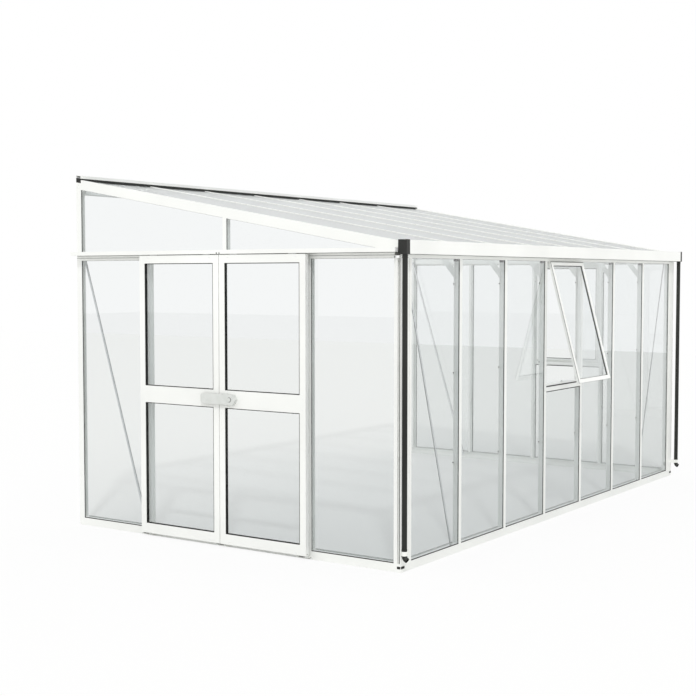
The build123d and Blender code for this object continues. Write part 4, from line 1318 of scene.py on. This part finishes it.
@dataclass
class DoorTrim(Trim):
    """Rubber, pile strips and screws of one leaf."""

    node: str
    body: Body
    outer_post: float
    stile: float = 45 * MM
    bottom_rail: float = 66 * MM
    top_rail: float = 52 * MM
    mid_height: float = 966 * MM
    mid_rail: float = 112 * MM
    outer_band: float = 5 * MM
    outer_depth: Pair = (1.5 * MM, 11.9 * MM)
    inner_band: float = 4 * MM
    inner_depth: Pair = (15.9 * MM, 24 * MM)
    corner_screw: Pair = (75 * MM, 15 * MM)  # from the leaf's side and from its end
    rail_screw: Pair = (22 * MM, 35 * MM)  # from the leaf's side and from the rail's middle
    fin: float = 17 * MM
    fin_half: float = 1 * MM
    pile_head: float = 10 * MM
    pile_foot: float = 30 * MM
    pile_side: float = 60 * MM
    pile_length: float = 11 * MM
    pile_spacing: float = 4 * MM

    def __post_init__(self) -> None:
        """Measure the leaf."""
        low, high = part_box(f"{self.node}_frame")
        self.left, self.right = low.y, high.y
        self.bottom, self.top = low.z, high.z
        self.depth = high.x - low.x
        self.face = Wall.gable(low.x, -1)

    def inset(self, distance: float) -> Pair:
        """Places that far from both sides of the leaf."""
        return self.left + distance, self.right - distance

    def build_rubber(self) -> None:
        """Press a wedge of rubber round both faces of both panes."""
        low, high = around(self.mid_height, self.mid_rail / 2)
        lights = [Opening(self.inset(self.stile), span) for span in (
            (self.bottom + self.bottom_rail, low), (high, self.top - self.top_rail))]
        bands = ((self.outer_band, self.outer_depth), (self.inner_band, self.inner_depth))
        parts = [Solid.band(self.face, light, width, depth)
                 for light in lights for width, depth in bands]
        self.bench.solids(f"{self.node}_glazing_rubber", parts, body=self.body)

    def build_screws(self) -> None:
        """Screw the corners of the leaf and the ends of its middle rail."""
        side, end = self.corner_screw
        corners = [(y, z) for y in self.inset(side) for z in (self.bottom + end, self.top - end)]
        side, half = self.rail_screw
        corners += [(y, z) for y in self.inset(side) for z in around(self.mid_height, half)]
        spots = [Spot(self.face.at(y, z), self.face.out) for y, z in corners]
        self.bench.scatter(f"{self.node}_screws", spots, Fittings().screw(), Slot.BARE, self.body)

    def build_pile(self) -> None:
        """Brush the gap between the leaf and the frame, on a rubber fin."""
        head = self.house.head + self.pile_head
        upright = (self.bottom + self.pile_foot, head)
        level = self.inset(self.pile_side)
        tip = self.depth + self.fin
        spans = ((around(self.outer_post, self.fin_half), upright),
                 (level, around(head, self.fin_half)))
        fins = [Solid.block(self.face, u, v, (self.depth, tip)) for u, v in spans]
        self.bench.solids(f"{self.node}_pile_carriers", fins, body=self.body)
        places = [(self.outer_post, z) for z in upright] + [(y, head) for y in level]
        rows = [Spot(self.face.at(y, z, tip), X_AXIS) for y, z in places]
        self.bench.brush(f"{self.node}_pile", rows, self.pile_length, self.pile_spacing,
                         Slot.RUBBER, self.body)

    def build(self) -> None:
        """Build the leaf's trim."""
        self.build_rubber()
        self.build_screws()
        self.build_pile()


@dataclass
class MeetingStiles(Trim):
    """Pile between the two leaves, and the dark ring that paints shade round the lock's barrel."""

    row_half: float = 6 * MM
    row_inset: float = 20 * MM
    pile_length: float = 4.2 * MM
    pile_spacing: float = 3 * MM
    barrel_side: float = 104 * MM
    barrel_length: float = 4 * MM

    def build(self) -> None:
        """Build them on the right leaf."""
        low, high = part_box("right_door_frame")
        rows = [Spot(Vector((x, high.y, z)), Y_AXIS)
                for x in around((low.x + high.x) / 2, self.row_half)
                for z in (low.z + self.row_inset, high.z - self.row_inset)]
        self.bench.brush("meeting_stile_pile", rows, self.pile_length, self.pile_spacing,
                         Slot.CLIP, Body.RIGHT_DOOR)
        low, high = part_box("door_latch")
        y = self.house.middle_y - self.barrel_side
        place = Vector((low.x + self.barrel_length, y, (low.z + high.z) / 2))
        self.bench.scatter("lock_collar", [Spot(place, self.house.near.out)],
                           Fittings().barrel_shade_ring(), Slot.RUBBER, Body.RIGHT_DOOR, turn=0.0)


@dataclass
class TrackTrim(Trim):
    """Plug in the track's end, plate over its joint, and pads and lips on the bottom guides."""

    wall: float = 4 * MM
    plug_depth: float = 40 * MM
    plug_reach: Pair = (-1.5 * MM, 6 * MM)
    plate: float = 1.2 * MM
    plate_half: float = 17 * MM
    plate_inset: Pair = (6 * MM, 5 * MM)
    rivet_half: float = 11 * MM
    rivet_drop: float = 7 * MM
    guide_length: float = 80 * MM
    pad_share: float = 0.8
    pad_half: float = 7 * MM
    pad_height: Pair = (18.5 * MM, 24.5 * MM)
    pad_proud: float = 8 * MM
    lip_half: float = 24 * MM
    lip_height: Pair = (20 * MM, 24 * MM)
    lip_proud: float = 1.5 * MM

    def build_track(self) -> None:
        """Plug the near end of the track, and rivet a plate over the joint of its halves."""
        low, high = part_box("door_track")
        face = Wall.gable(low.x, -1)
        middle = self.house.middle_y
        plug = Solid.block(face, tuple(low.y + reach for reach in self.plug_reach),
                           (low.z + self.wall, high.z - self.wall), (self.wall, self.plug_depth))
        self.bench.solids("track_end_plug", [plug], Slot.BARE)
        height = (low.z + self.plate_inset[0], high.z - self.plate_inset[1])
        plate = Solid.block(face, around(middle, self.plate_half), height, (-self.plate, 0))
        self.bench.solids("track_joint_plate", [plate], Slot.FRAME)
        z = (low.z + high.z) / 2 - self.rivet_drop
        spots = [Spot(face.at(y, z, -self.plate), face.out) for y in around(middle, self.rivet_half)]
        self.bench.scatter("track_joint_rivets", spots, Fittings().dot(), Slot.RUBBER)

    def build_guides(self) -> None:
        """Put plastic pads on the ends of the guides and a rubber lip on their middles."""
        low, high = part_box("door_guides")
        face = Wall.gable(low.x, -1)
        half = self.guide_length / 2
        middles = (low.y + half, self.house.middle_y, high.y - half)
        pads = [Solid.block(face, around(y, self.pad_half), self.pad_height, (-self.pad_proud, 0))
                for middle in middles for y in around(middle, self.pad_share * half)]
        self.bench.solids("guide_pads", pads, Slot.LATCH)
        lips = [Solid.block(face, around(y, self.lip_half), self.lip_height, (-self.lip_proud, 0))
                for y in middles]
        self.bench.solids("guide_lips", lips)

    def build(self) -> None:
        """Build the trim of the track and the guides."""
        self.build_track()
        self.build_guides()


@dataclass
class VentTrim(Trim):
    """Rubber and seals of the two sashes, seals of the bars under them and the bolt of the stay. The
    hinge strips and the wedges under the bars also paint shadow lines.
    """

    angle: float = math.radians(15)
    hinge_inset: float = 2 * MM
    hinge_drop: float = 4 * MM
    sash_gap: float = 4.3 * MM
    sash_face: float = -20 * MM
    rail: float = 28 * MM
    outer_band: float = 1.5 * MM
    outer_depth: Pair = (-14 * MM, -11 * MM)
    inner_band: float = 5 * MM
    inner_depth: Pair = (-6.5 * MM, -4 * MM)
    bar_height: float = 30 * MM
    bar_gap: float = 1 * MM
    seal_depth: Pair = (2.4 * MM, 5.6 * MM)
    seal_height: float = 8 * MM
    # Thick wedge on the pane under each vent's bar, a glazing wedge that also paints the bar's shadow
    # line
    wedge_radius: float = 3.8 * MM
    wedge_drop: float = 3.2 * MM
    wedge_depth: float = 4.2 * MM
    edge_proud: float = 1 * MM
    edge_width: float = 0.98 * MM
    edge_depth: Pair = (1 * MM, 3 * MM)
    # Dark strip along each hinge, a seal that also paints the shadow line of the hinge's gap
    hinge_strip: float = 4 * MM
    hinge_proud: float = 1 * MM
    stay_bolt: Pair = (6 * MM, 3.5 * MM)

    def sashes(self) -> list[tuple[Wall, Opening]]:
        """Place the two sashes, hung from their hinges.

        Returns:
            Plane and outline of the front's tilted sash, then of the far gable's upright one.
        """
        h = self.house
        front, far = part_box("front_vent_sash"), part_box("far_vent_sash")
        hinge_z = h.head - self.hinge_drop
        lean = Vector((0, -math.cos(self.angle), math.sin(self.angle)))
        rise = Vector((0, math.sin(self.angle), math.cos(self.angle)))
        tilted = Wall(Vector((0, h.front_y + self.hinge_inset, hinge_z)), X_AXIS, lean, rise)
        upright = Wall.gable(h.far_x - self.hinge_inset, 1, hinge_z)
        height = (far[0].z - hinge_z, -self.sash_gap)
        return [(tilted, Opening((front[0].x, front[1].x), height)),
                (upright, Opening((far[0].y, far[1].y), height))]

    def build_bar_seals(self) -> None:
        """Lay a seal on each bar under a vent, and a thick rubber wedge on the pane below it that also
        paints the bar's shadow line.
        """
        h = self.house
        gaps = ((h.front, h.mullions[2], h.mullions[3]), (h.far, h.posts[0], h.posts[1]))
        inset = h.cap_half + self.bar_gap
        spans = [(wall, (low + inset, high - inset)) for wall, low, high in gaps]
        foot = h.vent_bottom + self.bar_height
        height = (foot, foot + self.seal_height)
        seals = [Solid.block(wall, span, height, self.seal_depth) for wall, span in spans]
        self.bench.solids("vent_sill_seals", seals)
        drop = h.vent_bottom - self.wedge_drop
        runs = [[wall.at(u, drop, self.wedge_depth) for u in span] for wall, span in spans]
        self.bench.cords("vent_bar_wedges", runs, self.wedge_radius)

    def build_sash_seals(self) -> None:
        """Run a thin seal round the edges of both sashes, and a dark strip along their hinges that also
        paints the hinge gap's shadow line.
        """
        depth = tuple(self.sash_face + level for level in self.edge_depth)
        edges = [Solid.band(wall, outline.shrunk(-self.edge_proud), self.edge_width, depth)
                 for wall, outline in self.sashes()]
        self.bench.solids("vent_sash_edge_seals", edges)
        depth = (self.sash_face - self.hinge_proud, self.sash_face)
        strips = [Solid.block(wall, outline.u, (outline.v[1] - self.hinge_strip, outline.v[1]), depth)
                  for wall, outline in self.sashes()]
        self.bench.solids("vent_hinge_seals", strips)

    def build(self) -> None:
        """Build the trim of both vents."""
        bands = ((self.outer_band, self.outer_depth), (self.inner_band, self.inner_depth))
        parts = [Solid.band(wall, outline.shrunk(self.rail), width, depth)
                 for wall, outline in self.sashes() for width, depth in bands]
        self.bench.solids("vent_sash_rubber", parts)
        self.build_bar_seals()
        self.build_sash_seals()
        low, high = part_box("vent_stay")
        inset, rise = self.stay_bolt
        bolt = Spot(Vector(((low.x + high.x) / 2, high.y - inset, low.z + rise)), Z_AXIS, X_AXIS)
        self.bench.scatter("vent_stay_bolt", [bolt], Fittings().bolt(), Slot.BARE)


@dataclass
class Fixings(Trim):
    """Bolts and screws of the frame, rubber edges that paint shade on the braces, and plugs of the
    sills.
    """

    knee_side: float = 14 * MM
    knee_depth: float = 44 * MM
    knee_rises: Pair = (26 * MM, 52 * MM)
    knee_insets: Pair = (18 * MM, 40 * MM)
    knee_drop: float = 61 * MM
    brace_depth: float = 53 * MM
    brace_half: float = 7 * MM
    brace_half_thickness: float = 1.5 * MM
    # Dark cords on the braces' sides, which paint their shade
    brace_shade_radius: float = 1.6 * MM
    front_brace: Pair = (104 * MM, 28 * MM)  # its head from the near end, its foot from the mullion
    gable_brace: Pair = (24 * MM, 62 * MM)  # its head from the house, its foot from the post
    screw_heights: tuple[float, ...] = (0.075, 0.105, 1.775, 1.805)
    rafter_screw: float = 20 * MM
    rafter_drops: Pair = (48 * MM, 66 * MM)
    plug_gable: Pair = (2 * MM, 25 * MM)
    plug_front: Pair = (4 * MM, 42 * MM)
    plug_height: Pair = (21 * MM, 36 * MM)
    plug_proud: float = 1.2 * MM

    def knee_bolts(self) -> list[Spot]:
        """Put two bolts through each end of every knee brace.

        Returns:
            Their spots.
        """
        h = self.house
        low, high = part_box("knee_braces")
        places = [(h.front_y + self.knee_depth, low.z + rise) for rise in self.knee_rises]
        heads = [high.y - inset for inset in self.knee_insets]
        places += [(y, h.roof(y, self.knee_drop)) for y in heads]
        return [Spot(Vector((x + self.knee_side, y, z)), X_AXIS)
                for x in h.mullions for y, z in places]

    def brace_ends(self) -> list[tuple[Spot, Spot]]:
        """Find the middles of the head and foot of every wind brace, on its inner face.

        Returns:
            Head and foot of the front's braces, then of the gables' braces.
        """
        h = self.house
        low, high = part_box("wind_braces")
        heights = (high.z - self.brace_half, low.z + self.brace_half)
        y = h.front_y + self.brace_depth
        near = (h.near_x + self.front_brace[0], h.mullions[0] - self.front_brace[1])
        far = tuple(h.mirrored(x) for x in near)
        ends = [tuple(Spot(Vector((x, y, z)), Y_AXIS) for x, z in zip(places, heights))
                for places in (near, far)]
        places = (h.wall_y - self.gable_brace[0], h.posts[2] + self.gable_brace[1])
        # The inner face of each gable looks the way of the other one's outer face
        planes = ((h.near_x + self.brace_depth, h.far.out), (h.far_x - self.brace_depth, h.near.out))
        ends += [tuple(Spot(Vector((x, y, z)), way) for y, z in zip(places, heights))
                 for x, way in planes]
        return ends

    def build_brace_shade_edges(self) -> None:
        """Run a dark rubber edge along both sides of every wind brace, as painted shade on its sides.
        """
        edges = []
        for head, foot in self.brace_ends():
            side = (foot.place - head.place).normalized().cross(head.facing) * self.brace_half
            inner = head.facing * self.brace_half_thickness
            edges += [[end.place + side * sign - inner for end in (head, foot)] for sign in (-1, 1)]
        self.bench.cords("brace_edges", edges, self.brace_shade_radius)

    def screws(self) -> list[Spot]:
        """Put screws in the rafters' upper ends and in the feet and heads of the bars.

        Returns:
            Their spots.
        """
        h = self.house
        y = h.wall_y - self.rafter_screw
        spots = [Spot(wall.at(y, h.roof(y, drop)), wall.out) for wall in (h.near, h.far)
                 for drop in self.rafter_drops]
        rows = ((h.front, h.mullions), (h.far, h.posts), (h.near, h.door_posts))
        return spots + [Spot(wall.at(bar, z, h.bar_depth), -wall.out)
                        for wall, bars in rows for bar in bars for z in self.screw_heights]

    def build_plugs(self) -> None:
        """Set a dark plug in both sides of the sills' front corners."""
        h = self.house
        depth = (-self.plug_proud, 0)
        gable = tuple(h.front_y + y for y in self.plug_gable)
        parts = [Solid.block(wall, gable, self.plug_height, depth) for wall in (h.near, h.far)]
        near = tuple(h.near_x + x for x in self.plug_front)
        far = tuple(h.mirrored(x) for x in reversed(near))
        parts += [Solid.block(h.front, span, self.plug_height, depth) for span in (near, far)]
        self.bench.solids("sill_corner_plugs", parts)

    def build(self) -> None:
        """Build the plugs, the bolts, the braces' painted-shade edges and the screws."""
        self.build_plugs()
        fittings = Fittings()
        bolts = self.knee_bolts() + [spot for ends in self.brace_ends() for spot in ends]
        self.bench.scatter("frame_bolts", bolts, fittings.bolt(), Slot.BARE)
        self.build_brace_shade_edges()
        self.bench.scatter("frame_screws", self.screws(), fittings.screw(), Slot.BARE)


@dataclass
class Rainwater(Trim):
    """Rings round both downpipes, at their sockets and shoes."""

    pipe_side: float = 18 * MM
    pipe_ahead: float = 37 * MM
    pipe_radius: float = 16 * MM
    ring_radius: float = 1.6 * MM
    ring_sides: int = 28
    rings: tuple[Pair, ...] = (  # height of each ring, and how far its middle is off the pipe
        (1.868, 1.2 * MM), (1.856, 1.2 * MM), (0.145, 0.8 * MM), (0.106, 0.8 * MM))

    def build(self) -> None:
        """Lay the rings, each at its height and a little proud of the pipe."""
        h = self.house
        y = h.front_y - self.pipe_ahead
        loops = [circle((x, y, z), self.pipe_radius + proud, self.ring_sides)
                 for x in (h.near_x - self.pipe_side, h.far_x + self.pipe_side)
                 for z, proud in self.rings]
        self.bench.beads("downpipe_rings", loops, self.ring_radius, Slot.PIPE)


@dataclass
class Studio:
    """Pale floor, white surround, one soft sun from behind the camera and the camera."""

    house_corner: Vector
    floor_reach: float = 22.0
    floor_half: float = 40.0
    floor_drop: float = 1 * MM
    fill: float = 0.97
    sun_strength: float = 0.74
    sun_bearing: float = 36.0
    sun_height: float = 44.0
    sun_softness: float = 4.0
    camera_offset: Triple = (-6.348, -3.928, 1.747)
    camera_bearing: float = 34.13
    camera_pitch: float = -3.20
    lens_mm: float = 66.15
    sensor_mm: float = 36.0
    clip_end: float = 200.0

    def build_world(self) -> None:
        """White where it is seen or mirrored, and the fill light elsewhere."""
        world = bpy.data.worlds.new("surround")
        bpy.context.scene.world = world
        world.use_nodes = True
        tree = world.node_tree
        tree.nodes.clear()
        seen = strongest(tree, ray_kinds(tree, "Camera", "Transmission", "Glossy"))
        fill, white = [
            add_node(tree, "ShaderNodeBackground", {"Color": (1, 1, 1, 1), "Strength": strength})
            for strength in (self.fill, 1.0)]
        mix = add_node(tree, "ShaderNodeMixShader", {"Fac": seen, 1: fill, 2: white})
        add_node(tree, "ShaderNodeOutputWorld", {"Surface": mix})

    def build_floor(self) -> Shape:
        """Lay a floor out to a horizon beyond the house.

        Returns:
            The floor.
        """
        x = self.house_corner.x
        left, right = x - self.floor_half, x + self.floor_reach
        front, back = around(self.house_corner.y, self.floor_half)
        corners = [(left, front), (right, front), (right, back), (left, back)]
        mesh = bpy.data.meshes.new("studio_floor")
        mesh.from_pydata([(*corner, -self.floor_drop) for corner in corners], [], [(0, 1, 2, 3)])
        mesh.materials.append(StudioPaper("studio_paper").build())
        floor = bpy.data.objects.new("studio_floor", mesh)
        bpy.context.scene.collection.objects.link(floor)
        return floor

    def way(self, bearing: float, pitch: float) -> Euler:
        """Turn a lamp or camera to look along a bearing and a pitch.

        Args:
            bearing: Angle from X in degrees.
            pitch: Angle above the level in degrees.

        Returns:
            The turn.
        """
        bearing, pitch = math.radians(bearing), math.radians(pitch)
        level = math.cos(pitch)
        look = Vector((math.cos(bearing) * level, math.sin(bearing) * level, math.sin(pitch)))
        return look.to_track_quat("-Z", "Y").to_euler()

    def build_sun(self) -> None:
        """Hang one soft sun behind the camera's shoulder."""
        lamp = bpy.data.lights.new("key_sun", "SUN")
        lamp.energy = self.sun_strength
        lamp.angle = math.radians(self.sun_softness)
        sun = bpy.data.objects.new("key_sun", lamp)
        sun.rotation_euler = self.way(self.sun_bearing, -self.sun_height)
        bpy.context.scene.collection.objects.link(sun)

    def build_camera(self) -> None:
        """Stand the camera where the photograph was taken from."""
        data = bpy.data.cameras.new("camera")
        data.lens = self.lens_mm
        data.sensor_width = self.sensor_mm
        data.clip_end = self.clip_end
        camera = bpy.data.objects.new("camera", data)
        camera.location = self.house_corner + Vector(self.camera_offset)
        camera.rotation_euler = self.way(self.camera_bearing, self.camera_pitch)
        bpy.context.scene.collection.objects.link(camera)
        bpy.context.scene.camera = camera

    def build(self) -> None:
        """Set up the whole studio."""
        self.build_world()
        self.build_floor()
        self.build_sun()
        self.build_camera()
        bpy.context.scene.view_settings.view_transform = "Standard"


def dress_frame(shelf: FinishShelf) -> None:
    """Give each CAD node the finish that the record names for it.

    Args:
        shelf: The finishes by slot.
    """
    slots = {row["node"]: Slot(row["material_slot"]) for row in frame["record"]["subparts"]}
    for name, node in frame["nodes"].items():
        shelf.dress(node, slots[name])


def main() -> None:
    """Dress the frame, build each sub-assembly in order and set up the studio."""
    logging.basicConfig(level=logging.INFO)
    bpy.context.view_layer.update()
    house = House.measured()
    bench = Bench()
    dress_frame(bench.shelf)
    right_post, left_post = house.door_posts
    trims: list[Trim] = [
        Glazing(bench, house),
        DoorTrim(bench, house, "left_door", Body.LEFT_DOOR, left_post),
        DoorTrim(bench, house, "right_door", Body.RIGHT_DOOR, right_post),
        MeetingStiles(bench, house),
        TrackTrim(bench, house),
        VentTrim(bench, house),
        Fixings(bench, house),
        Rainwater(bench, house),
    ]
    for trim in trims:
        trim.build()
    Studio(Vector((house.near_x, house.front_y, 0))).build()


if __name__ == "__main__":
    main()
